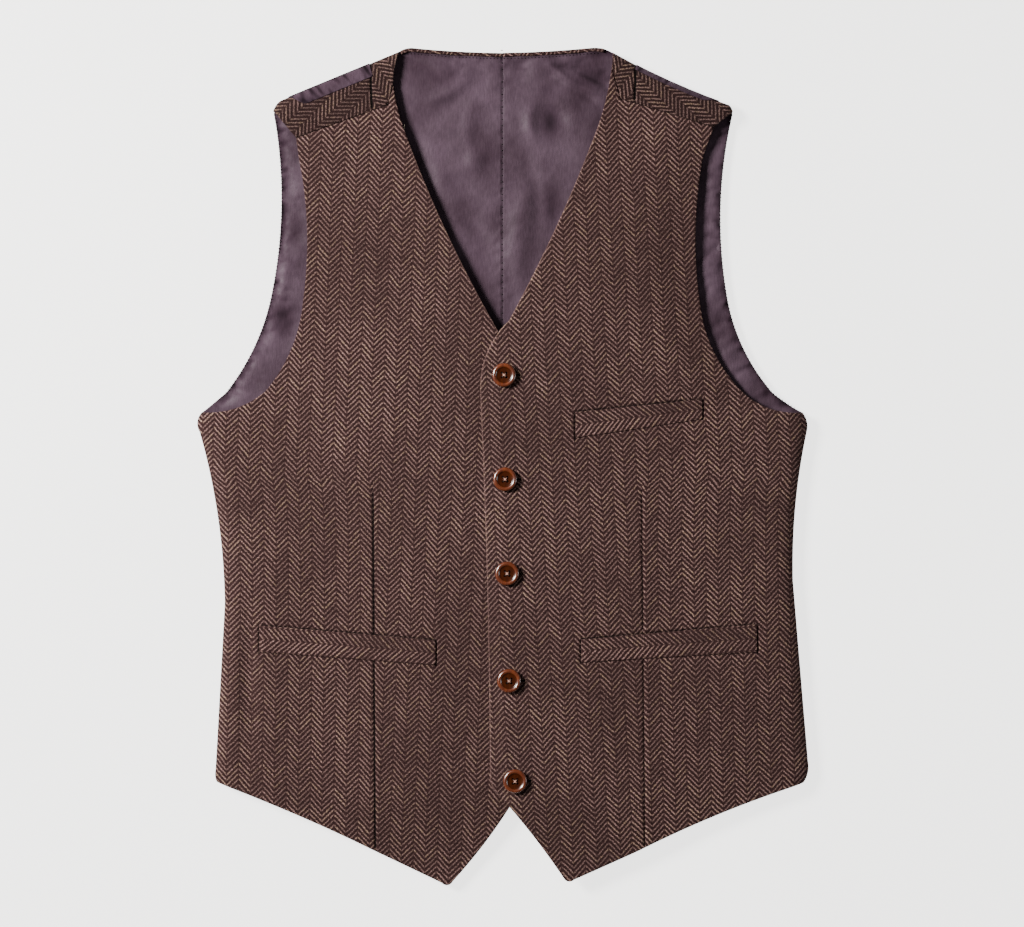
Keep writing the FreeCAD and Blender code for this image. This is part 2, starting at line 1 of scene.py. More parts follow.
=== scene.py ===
"""The looks of a man's tweed waistcoat, buttoned and lying on its back.

Every piece of cloth is cut to the outline of its CAD node and laid at that node's height. All the
plies of one front share one rise, so they stay parallel, and all of them bend about the same fold.
Lengths are in metres. "Left" and "right" are the wearer's: the wearer's left is at +X.
"""

import json
import math

import bmesh
import bpy
import numpy as np
from mathutils import Matrix, Vector, noise
from mathutils.geometry import delaunay_2d_cdt


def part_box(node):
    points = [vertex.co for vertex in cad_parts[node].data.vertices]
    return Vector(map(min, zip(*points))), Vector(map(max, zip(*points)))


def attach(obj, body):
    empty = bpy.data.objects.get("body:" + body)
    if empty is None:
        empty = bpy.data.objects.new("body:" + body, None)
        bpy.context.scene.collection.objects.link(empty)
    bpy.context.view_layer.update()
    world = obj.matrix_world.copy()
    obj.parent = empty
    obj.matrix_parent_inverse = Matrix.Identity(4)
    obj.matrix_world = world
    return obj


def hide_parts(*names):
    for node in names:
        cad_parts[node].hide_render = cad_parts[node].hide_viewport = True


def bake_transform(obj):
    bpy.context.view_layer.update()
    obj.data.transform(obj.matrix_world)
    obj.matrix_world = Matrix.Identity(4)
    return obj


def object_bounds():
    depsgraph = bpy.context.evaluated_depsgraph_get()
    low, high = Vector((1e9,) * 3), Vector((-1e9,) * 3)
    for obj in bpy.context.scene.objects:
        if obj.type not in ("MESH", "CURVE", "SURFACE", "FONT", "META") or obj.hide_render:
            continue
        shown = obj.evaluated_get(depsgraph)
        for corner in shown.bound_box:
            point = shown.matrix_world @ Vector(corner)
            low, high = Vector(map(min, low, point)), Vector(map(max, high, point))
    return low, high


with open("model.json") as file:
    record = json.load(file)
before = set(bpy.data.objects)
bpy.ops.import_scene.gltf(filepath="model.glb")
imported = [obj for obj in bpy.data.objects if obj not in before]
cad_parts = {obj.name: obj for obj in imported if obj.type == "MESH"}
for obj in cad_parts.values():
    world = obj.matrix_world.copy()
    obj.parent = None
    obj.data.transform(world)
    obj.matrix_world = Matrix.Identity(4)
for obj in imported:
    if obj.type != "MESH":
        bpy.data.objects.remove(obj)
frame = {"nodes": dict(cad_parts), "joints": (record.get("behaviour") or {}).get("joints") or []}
cad_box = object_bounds()
nodes = frame["nodes"]

MM = 0.001
SIGN = {"left": 1, "right": -1}
BUTTONS = range(1, 6)

FOLD_LENGTH = 14.0 * MM       # cloth taken up by the bend when a front opens
SIDE_ROLL = 17.0 * MM         # how far in from the side seam the cloth starts to curve down
SIDE_SEAM = (-0.2545, 0.0455) # the side seam's lowest and highest Y
SHOULDER_Y = 0.2855           # the shoulder line lies above this Y

# The height of each ply's upper face where it lies flat, at the side seam, at the shoulder line and
# at a free edge, and its thickness, in millimetres.
PLY_FIELDS = ("flat", "side", "shoulder", "free", "thick")
PLY_SIZES = {
    "tweed": (12.2, 6.6, 7.0, 12.2, 1.4),
    "facing": (10.0, 5.1, 5.9, 10.6, 1.0),
    "front_lining": (9.4, 5.0, 5.8, 10.5, 0.4),
    "canvas": (10.7, 5.2, 6.0, 10.7, 0.5),
    "back_lining": (4.3, 4.4, 5.4, 3.1, 0.5),
    "back": (0.8, 3.8, 4.8, 2.5, 0.8),
}
PLIES = {ply: {field: size * MM for field, size in zip(PLY_FIELDS, sizes)}
         for ply, sizes in PLY_SIZES.items()}


# ---------------------------------------------------------------- plan geometry

def plan_loops(node, facing=1):
    """The edges of a flat CAD node's upper (or lower, -1) face in plan, the longest first."""
    bm = bmesh.new()
    bm.from_mesh(nodes[node].data)
    bmesh.ops.remove_doubles(bm, verts=bm.verts, dist=1e-6)
    bm.normal_update()
    flat = {f for f in bm.faces if f.normal.z * facing > 0.9}
    after = {}
    for edge in bm.edges:
        inner = [f for f in edge.link_faces if f in flat]
        if len(inner) == 1:
            corner = next(c for c in inner[0].loops if c.edge == edge)
            after[corner.vert] = corner.link_loop_next.vert
    loops = []
    while after:
        start = next(iter(after))
        here, found = start, []
        while here in after:
            found.append((here.co.x, here.co.y))
            here = after.pop(here)
        loops.append(np.array(found)[::facing])
    bm.free()
    return sorted(loops, key=perimeter, reverse=True)


def perimeter(loop):
    return np.linalg.norm(np.roll(loop, -1, axis=0) - loop, axis=1).sum()


def opened(loop):
    """The loop as a chain that starts and ends at its longest edge, which is left out."""
    lengths = np.linalg.norm(np.roll(loop, -1, axis=0) - loop, axis=1)
    return np.roll(loop, -(int(lengths.argmax()) + 1), axis=0)


def joined(a, b):
    """One outline round two pieces that meet along the longest edge of each."""
    chain = np.vstack([opened(a), opened(b)])
    keep = np.linalg.norm(chain - np.roll(chain, 1, axis=0), axis=1) > 0.3 * MM
    return chain[keep]


def smoothed(loop, spacing, corner_deg=16):
    """The closed outline as evenly spaced points on a smooth curve, with its corners kept."""
    step = np.roll(loop, -1, axis=0) - loop
    length = np.linalg.norm(step, axis=1)
    unit = step / length[:, None]
    before = np.roll(unit, 1, axis=0)
    turn = np.degrees(np.arccos(np.clip((unit * before).sum(1), -1, 1)))
    tangent = np.roll(loop, -1, axis=0) - np.roll(loop, 1, axis=0)
    tangent /= np.linalg.norm(tangent, axis=1)[:, None]
    sharp = turn > corner_deg
    pull_out = np.minimum(length, 1.5 * np.roll(length, 1))
    pull_in = np.minimum(length, 1.5 * np.roll(length, -1))
    out = np.where(sharp[:, None], unit * length[:, None], tangent * pull_out[:, None])
    sharp_end, tangent_end = np.roll(sharp, -1), np.roll(tangent, -1, axis=0)
    into = np.where(sharp_end[:, None], unit * length[:, None], tangent_end * pull_in[:, None])
    points = []
    for i, here in enumerate(loop):
        there = loop[(i + 1) % len(loop)]
        for t in np.arange(max(1, round(length[i] / spacing))) / max(1, round(length[i] / spacing)):
            points.append((2 * t**3 - 3 * t**2 + 1) * here + (t**3 - 2 * t**2 + t) * out[i]
                          + (3 * t**2 - 2 * t**3) * there + (t**3 - t**2) * into[i])
    return np.array(points)


def resampled(path, spacing):
    """Evenly spaced points along an open path."""
    length = np.concatenate([[0], np.cumsum(np.linalg.norm(np.diff(path, axis=0), axis=1))])
    at = np.linspace(0, length[-1], max(2, round(length[-1] / spacing) + 1))
    return np.column_stack([np.interp(at, length, path[:, 0]), np.interp(at, length, path[:, 1])])


def run(path, low_y, high_y, keep):
    """The points of a path that are kept and lie between two heights in Y, from the lowest up."""
    part = path[(path[:, 1] > low_y) & (path[:, 1] < high_y) & keep]
    return part[np.argsort(part[:, 1])]


def distance(points, path, closed=False):
    """From each point to the nearest place on a path."""
    start = path if closed else path[:-1]
    step = (np.roll(path, -1, axis=0) if closed else path[1:]) - start
    square = np.maximum((step**2).sum(1), 1e-18)
    nearest = []
    for block in np.array_split(points, max(1, len(points) // 3000)):
        away = block[:, None] - start[None]
        share = np.clip((away * step[None]).sum(2) / square, 0, 1)
        nearest.append(np.linalg.norm(away - share[..., None] * step[None], axis=2).min(1))
    return np.concatenate(nearest)


def inside(points, loop):
    """Which points lie inside a closed outline."""
    x1, y1 = loop.T
    x2, y2 = np.roll(loop, -1, axis=0).T
    rise = np.where(y2 == y1, 1e-12, y2 - y1)
    found = []
    for block in np.array_split(points, max(1, len(points) // 3000)):
        x, y = block[:, :1], block[:, 1:]
        crosses = ((y1 > y) != (y2 > y)) & (x < (x2 - x1) * (y - y1) / rise + x1)
        found.append(crosses.sum(1) % 2 == 1)
    return np.concatenate(found)


def normals(path, closed=False):
    """Unit vectors to the left of a path at each of its points."""
    if closed:
        along = np.roll(path, -1, axis=0) - np.roll(path, 1, axis=0)
    else:
        along = np.gradient(path, axis=0)
    along = along / np.linalg.norm(along, axis=1)[:, None]
    return np.column_stack([-along[:, 1], along[:, 0]])


def smoothstep(t):
    """0 up to t = 0, 1 from t = 1, and smooth between."""
    t = np.clip(t, 0, 1)
    return t * t * (3 - 2 * t)


def rolled(away, width):
    """1 at an edge, falling to 0 at a width away, as the side of a circle does."""
    share = np.clip(1 - away / width, 0, 1)
    return 1 - np.sqrt(1 - share**2)


def bell(away, width, power=2):
    """1 at a line, falling to about a third at a width away from it."""
    return np.exp(-(away / width) ** power)


def bumps(plan, size, seed, stretch=(1, 1), turn=0.0):
    """Smooth noise over the plan, about -1 to 1, with bumps of a size and a direction."""
    c, s = math.cos(turn), math.sin(turn)
    u = (plan[:, 0] * c + plan[:, 1] * s) / (size * stretch[0])
    v = (plan[:, 1] * c - plan[:, 0] * s) / (size * stretch[1])
    return np.array([noise.noise((a, b, seed)) for a, b in zip(u, v)])


# ---------------------------------------------------------------- cloth pieces

CREASE_ROWS = (-2.4, -1.2, -0.5, 0, 0.5, 1.2, 2.4)    # mesh rows beside a crease, in millimetres


def fill(rim, holes, creases, spacing, edge):
    """Plan points, triangles and rim flags that fill an outline, closer at edges and creases."""
    borders = [rim, *holes]
    links, points = [], []
    for loop in borders:
        first = sum(len(p) for p in points)
        links += [(first + i, first + (i + 1) % len(loop)) for i in range(len(loop))]
        points.append(loop)
    rim_count = sum(len(p) for p in points)

    def clear_of_borders(candidates, gap):
        for loop in borders:
            candidates = candidates[distance(candidates, loop, True) > gap]
        candidates = candidates[inside(candidates, rim)]
        for hole in holes:
            candidates = candidates[~inside(candidates, hole)]
        return candidates

    for row in (0.13 * edge, 0.45 * edge, edge, edge + 0.45 * spacing):
        for loop in borders:
            turn = 1 if loop is rim else -1
            points.append(clear_of_borders(loop + turn * normals(loop, True) * row, 0.9 * row))
    low, high = rim.min(0), rim.max(0)
    xs = np.arange(low[0], high[0], spacing)
    ys = np.arange(low[1], high[1], spacing * 0.866)
    grid = np.array([(x + (j % 2) * spacing / 2, y) for j, y in enumerate(ys) for x in xs])
    grid = clear_of_borders(grid, edge + 1.0 * spacing)
    for crease in creases:
        line = resampled(crease, 0.8 * spacing)
        for row in CREASE_ROWS:
            points.append(clear_of_borders(line + normals(line) * (row * MM), edge + 0.3 * spacing))
        grid = grid[distance(grid, crease) > (CREASE_ROWS[-1] + 1) * MM]
    points.append(grid)
    plan = np.vstack(points)
    made = delaunay_2d_cdt([Vector(p) for p in plan], links, [], 1, 1e-7)
    plan = np.array([tuple(p) for p in made[0]])
    triangles = np.array([f for f in made[2] if len(f) == 3])
    for hole in holes:
        triangles = triangles[~inside(plan[triangles].mean(1), hole)]
    on_rim = np.array([any(i < rim_count for i in source) for source in made[3]])
    return plan, triangles, on_rim


def straight_grain(points, centres):
    """The weave runs along X and Y. centres gives the middle of the face that each point belongs to, and is
    not used here.
    """
    return points


def turned_grain(angle, centre=(0, 0)):
    """The weave turned in the plane of the cloth about a point."""
    c, s = math.cos(angle), math.sin(angle)

    def grain(points, centres):
        p = points - np.array(centre)
        return np.column_stack([p[:, 0] * c + p[:, 1] * s, p[:, 1] * c - p[:, 0] * s])
    return grain


def cloth(name, rim, top, thickness, material, *, spacing, holes=(), creases=(),
          grain=straight_grain, shade=None):
    """A closed sheet of cloth with rounded edges.

    top gives the height of its upper face, and shade how dark each place is: seams, painted shade, and below
    zero a painted highlight.
    """
    half = thickness / 2
    edge = max(half, 0.3 * MM)
    border = smoothed(rim, spacing)
    plan, triangles, on_rim = fill(border, list(holes), creases, spacing, edge)
    used = np.zeros(len(plan), bool)
    used[triangles] = True
    place = np.cumsum(used) - 1
    plan, on_rim, triangles = plan[used], on_rim[used], place[triangles]
    away = distance(plan, border, True)
    for hole in holes:
        away = np.minimum(away, distance(plan, hole, True))
    away[on_rim] = 0
    inset = half * rolled(away, edge)
    height = top(plan)
    upper = np.column_stack([plan, height - inset])
    lower = np.column_stack([plan, height - thickness + inset])[~on_rim]
    under = np.where(on_rim, np.arange(len(plan)), len(plan) + np.cumsum(~on_rim) - 1)
    first, second, third = (plan[triangles[:, i]] for i in range(3))
    upward = np.cross(second - first, third - first) > 0
    triangles = np.where(upward[:, None], triangles, triangles[:, ::-1])
    faces = np.vstack([triangles, under[triangles[:, ::-1]]])
    mesh = bpy.data.meshes.new(name)
    mesh.from_pydata(np.vstack([upper, lower]).tolist(), [], faces.tolist())
    corners = np.vstack([plan[triangles].reshape(-1, 2), plan[triangles[:, ::-1]].reshape(-1, 2)])
    centres = np.vstack([plan[triangles].mean(1), plan[triangles].mean(1)]).repeat(3, axis=0)
    uv = mesh.uv_layers.new(name="cloth")
    uv.data.foreach_set("uv", grain(corners, centres).astype(np.float32).ravel())
    dark = shade(plan) if shade else np.zeros(len(plan))
    mark(mesh, np.concatenate([dark, dark[~on_rim]]))
    return finished(name, mesh, material)


def mark(mesh, amounts):
    """Stores how dark (1) or pale (-1) each point is with the mesh, for its material to read."""
    layer = mesh.attributes.new("dark", "FLOAT", "POINT")
    layer.data.foreach_set("value", np.clip(amounts, -1, 1).astype(np.float32))


def finished(name, mesh, material):
    """A shaded object made from a mesh."""
    mesh.shade_smooth()
    piece = bpy.data.objects.new(name, mesh)
    bpy.context.scene.collection.objects.link(piece)
    mesh.materials.append(material)
    return piece


def declare(stands_for):
    """Hides the nodes that a piece replaces."""
    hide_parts(*stands_for)


# ---------------------------------------------------------------- materials

class Shader:
    """A material whose nodes are added one after another."""

    def __init__(self, name, roughness, specular=0.5, sheen=0.0, coat=0.0, metallic=0.0):
        self.material = bpy.data.materials.new(name)
        self.material.use_nodes = True
        self.tree = self.material.node_tree
        self.surface = self.tree.nodes["Principled BSDF"]
        for field, amount in (("Roughness", roughness), ("Specular IOR Level", specular),
                              ("Sheen Weight", sheen), ("Coat Weight", coat), ("Metallic", metallic)):
            self.surface.inputs[field].default_value = amount

    def add(self, kind, *inputs, out=0, **settings):
        node = self.tree.nodes.new("ShaderNode" + kind)
        for field, setting in settings.items():
            setattr(node, field, setting)
        for slot, given in enumerate(inputs):
            self.feed(node.inputs[slot], given)
        return node.outputs[out]

    def feed(self, socket, given):
        if isinstance(given, bpy.types.NodeSocket):
            self.tree.links.new(given, socket)
        elif given is not None:
            socket.default_value = given

    def math(self, operation, *inputs):
        return self.add("Math", *inputs, operation=operation)

    def times(self, first, second):
        return self.math("MULTIPLY", first, second)

    def plus(self, first, second):
        return self.math("ADD", first, second)

    def wave(self, place, pitch):
        """A sine along a coordinate, one period for each pitch."""
        return self.math("SINE", self.times(place, 2 * math.pi / pitch))

    def smooth(self, value, low, high, to_low=0.0, to_high=1.0):
        return self.add("MapRange", value, low, high, to_low, to_high, interpolation_type="SMOOTHSTEP")

    def noise(self, where, scale, detail=2.0):
        return self.add("TexNoise", where, None, scale, detail)

    def ramp(self, value, *stops):
        node = self.tree.nodes.new("ShaderNodeValToRGB")
        self.feed(node.inputs[0], value)
        elements = node.color_ramp.elements
        while len(elements) < len(stops):
            elements.new(0.5)
        for element, (at, colour) in zip(elements, stops):
            element.position = at
            element.color = (*colour, 1)
        return node.outputs[0]

    def blend(self, share, first, second, kind="MIX"):
        other_types = [None] * 5
        return self.add("Mix", share, *other_types, first, second, out=2, data_type="RGBA", blend_type=kind)

    def weave_place(self):
        """The place in the flat cloth, and its two coordinates."""
        place = self.add("UVMap", uv_map="cloth")
        split = self.tree.nodes.new("ShaderNodeSeparateXYZ")
        self.feed(split.inputs[0], place)
        return place, split.outputs[0], split.outputs[1]

    def object_place(self):
        return self.add("TexCoord", out=3)

    def marked(self):
        """How dark the mesh says that this place is."""
        return self.add("Attribute", out=2, attribute_name="dark")

    def lit(self, colour, amount):
        """The colour times an amount."""
        return self.blend(1.0, colour, self.add("CombineXYZ", amount, amount, amount), "MULTIPLY")

    def darkened(self, colour, least):
        """The colour, less where the mesh is marked dark and more where it is marked with a minus."""
        marked = self.marked()
        darker = self.smooth(marked, 0.0, 1.0, 1.0, least)
        paler = self.smooth(marked, -1.0, 0.0, 1.35, 1.0)
        return self.lit(colour, self.times(darker, paler))

    def finish(self, colour, height=None, depth=0.0, roughness=None):
        self.feed(self.surface.inputs["Base Color"], colour)
        if roughness is not None:
            self.feed(self.surface.inputs["Roughness"], roughness)
        if height is not None:
            bump = self.tree.nodes.new("ShaderNodeBump")
            bump.inputs["Distance"].default_value = depth
            bump.inputs["Strength"].default_value = 1.0
            self.feed(bump.inputs["Height"], height)
            self.tree.links.new(bump.outputs[0], self.surface.inputs["Normal"])
        return self.material


BAND = 9.6 * MM               # width of one band of the herringbone
STROKE = 4.25 * MM            # from one stroke to the next along the warp
STROKE_SLOPE = 1.04
YARN = 1.05 * MM

DARK_WOOL = (0.0070, 0.0026, 0.0027)
GAP_WOOL = (0.018, 0.0080, 0.0078)
WOOL_COLOURS = (
    (0.0, (0.068, 0.036, 0.032)),
    (0.25, (0.112, 0.068, 0.058)),
    (0.5, (0.088, 0.051, 0.047)),
    (0.7, (0.088, 0.058, 0.040)),
    (0.85, (0.118, 0.066, 0.048)),
    (1.0, (0.190, 0.134, 0.110)),
)


def herringbone(name, apex=0.0):
    """Brown wool tweed whose strokes rise to a point along lines a whole period apart."""
    s = Shader(name, roughness=0.95, specular=0.06)
    place, weft, warp = s.weave_place()
    waver = s.times(s.math("SUBTRACT", s.noise(place, 55, 2), 0.5), 1.5 * MM)
    across = s.plus(s.math("SUBTRACT", weft, apex), waver)
    side = s.math("PINGPONG", across, BAND)
    along = s.plus(warp, s.times(waver, 0.9))
    phase = s.math("DIVIDE", s.plus(along, s.times(side, STROKE_SLOPE)), STROKE)

    fibre = s.noise(place, 2300, 3)
    clump = s.noise(place, 800, 2)
    rough = s.plus(s.times(s.math("SUBTRACT", fibre, 0.5), 1.8), s.times(s.math("SUBTRACT", clump, 0.5), 2.6))
    stroke = s.smooth(s.plus(s.wave(phase, 1.0), rough), -0.05, 0.85)
    from_spine = s.math("MINIMUM", side, s.math("SUBTRACT", BAND, side))
    stroke = s.times(stroke, s.smooth(from_spine, 0.0, 0.9 * MM, 0.35, 1.0))
    # Where the mesh marks a painted highlight the strokes close up, so the pale line is unbroken.
    stroke = s.math("MAXIMUM", stroke, s.smooth(s.marked(), -1.0, -0.2, 0.7, 0.0))

    band = s.math("FLOOR", s.math("DIVIDE", across, BAND))
    number = s.math("FLOOR", s.plus(phase, 0.25))
    chance = s.add("TexWhiteNoise", s.add("CombineXYZ", band, number, 0.0), noise_dimensions="2D")
    patch = s.noise(place, 420, 3)
    wool = s.ramp(s.plus(s.times(chance, 0.24), s.times(patch, 0.76)), *WOOL_COLOURS)
    twist = s.wave(across, YARN)
    amount = s.plus(s.plus(0.62, s.times(chance, 0.56)), s.times(twist, 0.10))
    # Painted light and shade: broad lighter and darker patches, like the soft shading of the cloth's
    # undulations.
    amount = s.times(amount, s.smooth(s.noise(place, 9, 3), 0.3, 0.7, 0.74, 1.15))
    # Painted light: strokes in the bands that rise one way are lighter than in the others, as strokes that
    # face the light catch more of it.
    rising = s.math("LESS_THAN", s.math("FLOORED_MODULO", across, 2 * BAND), BAND)
    amount = s.times(amount, s.plus(0.88, s.times(rising, 0.2)))
    amount = s.times(amount, s.smooth(clump, 0.3, 0.75, 0.62, 1.5))
    amount = s.times(amount, s.smooth(fibre, 0.25, 0.75, 0.7, 1.25))
    gap = s.ramp(patch, (0.3, DARK_WOOL), (0.75, GAP_WOOL))
    # The mesh's marks darken the seams and the painted shade, and pale the painted highlights.
    colour = s.darkened(s.blend(stroke, gap, s.lit(wool, amount)), 0.03)
    height = s.plus(s.plus(s.times(stroke, 0.7), s.times(fibre, 0.5)), s.times(twist, 0.08))
    return s.finish(colour, height, 0.30 * MM)


def satin(name, shade=1.0):
    """Dusty purple lining satin: a fine weave, soft creases and a sheen along the floats."""
    s = Shader(name, roughness=0.50, sheen=0.03)
    s.surface.inputs["Sheen Roughness"].default_value = 0.35
    s.feed(s.surface.inputs["Specular IOR Level"], s.smooth(s.marked(), 0.0, 0.4, 0.07, 0.0))
    place, weft, warp = s.weave_place()
    weave = s.times(s.wave(weft, 0.45 * MM), s.wave(warp, 0.6 * MM))
    slub = s.noise(s.add("Mapping", place, None, None, (1.0, 0.16, 1.0)), 900, 3)
    # Painted shade: cloudy lighter and darker patches, like the soft shading of the lining's wrinkles.
    base = s.ramp(s.noise(place, 22, 4), (0.32, (0.021 * shade, 0.0118 * shade, 0.0172 * shade)),
                  (0.68, (0.040 * shade, 0.0250 * shade, 0.0350 * shade)))
    colour = s.lit(base, s.smooth(slub, 0.3, 0.7, 0.88, 1.1))
    height = s.plus(s.times(weave, 0.04), s.times(s.noise(place, 150, 3), 2.4))
    return s.finish(s.darkened(colour, 0.04), height, 0.16 * MM, s.smooth(slub, 0.2, 0.8, 0.45, 0.56))


def plain_weave(name, colour, dark, pitch):
    """A plain cloth or canvas with crossing threads."""
    s = Shader(name, roughness=0.85)
    place, weft, warp = s.weave_place()
    weave = s.smooth(s.times(s.wave(weft, pitch), s.wave(warp, pitch)), -0.9, 0.9)
    mottled = s.plus(s.times(weave, 0.6), s.times(s.noise(place, 150, 3), 0.5))
    return s.finish(s.ramp(mottled, (0.2, dark), (0.8, colour)), weave, 0.2 * MM)


def thread(name, colour, dark):
    """Twisted sewing thread."""
    s = Shader(name, roughness=0.7, specular=0.1)
    strands = s.noise(s.object_place(), 2600, 2)
    twisted = s.ramp(strands, (0.35, dark), (0.65, colour))
    return s.finish(s.darkened(twisted, 0.12), strands, 0.08 * MM)


def horn():
    """Polished brown horn, streaked from amber to near black."""
    s = Shader("button_horn", roughness=0.32, coat=0.4)
    s.surface.inputs["Coat Roughness"].default_value = 0.2
    place = s.object_place()
    stretched = s.add("Mapping", place, None, (0.0, 0.0, 0.7), (1.0, 0.3, 1.0))
    streaks = s.noise(stretched, 420, 5)
    pores = s.noise(place, 3200, 2)
    colour = s.ramp(streaks, (0.30, (0.036, 0.0060, 0.0010)), (0.52, (0.050, 0.0094, 0.0015)),
                    (0.72, (0.070, 0.0145, 0.0022)))
    marked = s.marked()
    s.feed(s.surface.inputs["Coat Weight"], s.smooth(marked, 0.0, 1.0, 0.4, 0.04))
    s.feed(s.surface.inputs["Specular IOR Level"], s.smooth(marked, 0.0, 1.0, 0.5, 0.12))
    roughness = s.smooth(pores, 0.35, 0.75, 0.24, 0.38)
    return s.finish(s.darkened(colour, 0.36), streaks, 0.01 * MM, roughness)


def metal():
    """Dull blackened brass with a brushed grain and brighter wear."""
    s = Shader("slider_metal", roughness=0.35, metallic=1.0)
    place = s.object_place()
    brushed = s.noise(s.add("Mapping", place, None, None, (0.08, 1.0, 1.0)), 2200, 3)
    worn = s.noise(place, 260, 4)
    colour = s.ramp(worn, (0.35, (0.090, 0.075, 0.060)), (0.68, (0.270, 0.230, 0.180)))
    return s.finish(colour, brushed, 0.04 * MM, s.smooth(brushed, 0.3, 0.7, 0.28, 0.48))


# ---------------------------------------------------------------- the two fronts

class Front:
    """One front: its fold, its outlines and the height of its plies."""

    def __init__(self, side):
        self.side = side
        self.sign = SIGN[side]
        joint = next(j for j in frame["joints"] if j["name"] == f"{side}_front_open")
        self.body = joint["child"]
        self.pivot = Vector(joint["pos_m"])
        axis = Vector(joint["axis"])
        self.inward = Vector((-axis.y, axis.x, 0.0))
        self.forepart = joined(plan_loops(f"{side}_forepart")[0], plan_loops(f"{side}_side_forepart")[0])
        self.yoke = plan_loops(f"{side}_shoulder_yoke")[0]
        self.facing = plan_loops(f"{side}_facing")[0]
        self.lining = joined(plan_loops(f"{side}_lining")[0], plan_loops(f"{side}_side_lining")[0])
        self.canvas = self.clear_of_bend(plan_loops(f"{side}_canvas")[0])
        self.back = back_outline(side)
        x, y = self.back.T
        self.side_line = self.back[(y > SIDE_SEAM[0]) & (y < SIDE_SEAM[1]) & (abs(x) > 200 * MM)]
        self.shoulder_line = self.back[(y > SHOULDER_Y) & (abs(x) > 81 * MM)]
        top_face = max(nodes[f"{side}_forepart"].data.polygons, key=lambda f: f.normal.z * f.area)
        self.slope = math.hypot(top_face.normal.x, top_face.normal.y) / top_face.normal.z
        out = self.forepart[:, 0] * self.sign
        self.front_edge = run(self.forepart, -262 * MM, 100 * MM, out < 30 * MM)
        neck = run(self.forepart, 100 * MM, 280 * MM, abs(out) < 80 * MM)
        self.turned_edge = np.vstack([self.front_edge, neck])
        self.armhole = run(self.forepart, 60 * MM, 270 * MM, abs(out) > 120 * MM)

    def from_fold(self, plan):
        """How far each point lies inside the fold line."""
        return (plan - np.array(self.pivot.xy)) @ np.array(self.inward.xy)

    def bend_lines(self):
        """Lines along the bend, so that every ply's mesh is fine there and they all bend alike."""
        inward = np.array(self.inward.xy)
        along = np.array([-inward[1], inward[0]])
        starts = [np.array(self.pivot.xy) + inward * FOLD_LENGTH * share for share in (0.12, 0.5, 0.88)]
        return [start + np.outer([-1, 1], along) for start in starts]

    def clear_of_bend(self, loop):
        """The outline with the points near the fold moved in past the bend."""
        short = np.maximum(FOLD_LENGTH + 3 * MM - self.from_fold(loop), 0)
        return loop + short[:, None] * np.array(self.inward.xy)

    def rise(self, plan):
        """How far the whole front stands over its flat height."""
        away = self.from_fold(plan)
        tilt = self.slope * (away + np.sqrt(away**2 + (20 * MM) ** 2)) / 2
        x, y = plan.T
        calm = smoothstep((abs(x) - 30 * MM) / (60 * MM))
        calm *= smoothstep(distance(plan, self.side_line) / (40 * MM))
        waves = 2.0 * MM * bumps(plan, 0.13, 3.1 * self.sign, (0.8, 1.6)) + 0.6 * MM * bumps(plan, 0.05, 7.7)
        total = tilt + calm * waves
        if self.side == "right":
            total -= 2.4 * MM * bell(x + 204 * MM, 6.5 * MM) * bell(y + 165 * MM, 55 * MM)
        if self.side == "left":
            gap = PLIES["facing"]["flat"] - PLIES["facing"]["thick"] + tilt - PLIES["tweed"]["flat"]
            near = smoothstep(1 - distance(plan, self.front_edge) / (16 * MM))
            total = total - np.maximum(gap - 0.35 * MM, 0) * near
            total -= 2.6 * MM * smoothstep(1 - distance(plan, self.armhole) / (38 * MM))
        return total - 4.0 * MM * smoothstep((-255 * MM - y) / (75 * MM))

    def level(self, ply, free_edge=None):
        """The height of a ply's upper face."""
        heights = PLIES[ply]

        def top(plan):
            flat = heights["flat"] + self.rise(plan)
            if free_edge is not None:
                near = smoothstep(1 - distance(plan, free_edge, True) / (7 * MM))
                flat = flat + (heights["free"] - heights["flat"]) * near
            at_side = rolled(distance(plan, self.side_line), SIDE_ROLL)
            at_shoulder = rolled(distance(plan, self.shoulder_line), SIDE_ROLL * 0.7)
            flat = flat + (heights["side"] - heights["flat"]) * at_side
            return flat + (heights["shoulder"] - heights["flat"]) * at_shoulder
        return top

    def bend(self, piece):
        """Bakes the piece's placement into its mesh."""
        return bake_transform(piece)


def back_outline(side):
    """The back's outline on one side, from the bottom of the centre seam round to its top.

    The notch that the cinch straps' channel makes in it is left out.
    """
    loop = plan_loops(f"back_outer_{side}", -1)[0]
    low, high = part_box(f"cinch_strap_{side}")
    margin = 6 * MM
    notch = ((abs(loop[:, 0]) < max(abs(low.x), abs(high.x)) + margin)
             & (loop[:, 1] > low.y - margin) & (loop[:, 1] < high.y + margin))
    return opened(loop[~notch])


# Each dart's upper and lower end.
DARTS = {"left": ((0.111, -0.011), (0.1136, -0.320)), "right": ((-0.104, -0.011), (-0.1022, -0.320))}
DART_TAKES = 13.0 * MM        # cloth that a dart takes up at its lower end
SLANT = {"left": math.radians(3.1), "right": math.radians(-2.3)}   # each front's weave is turned a little
APEX = {"left": 10.3 * MM, "right": -78.5 * MM}       # where one of the herringbone's spines runs


def past_dart(side, plan):
    """How far in X each point is past the dart's line, and how deep the dart is at its height."""
    top, low = DARTS[side]
    past = plan[:, 0] - np.interp(plan[:, 1], (low[1], top[1]), (low[0], top[0]))
    return past, smoothstep((top[1] + 4 * MM - plan[:, 1]) / (24 * MM))


def welt_nodes(side):
    """The names of one front's pocket welts."""
    return [n for n in nodes if n.startswith(side) and n.endswith("_welt")]


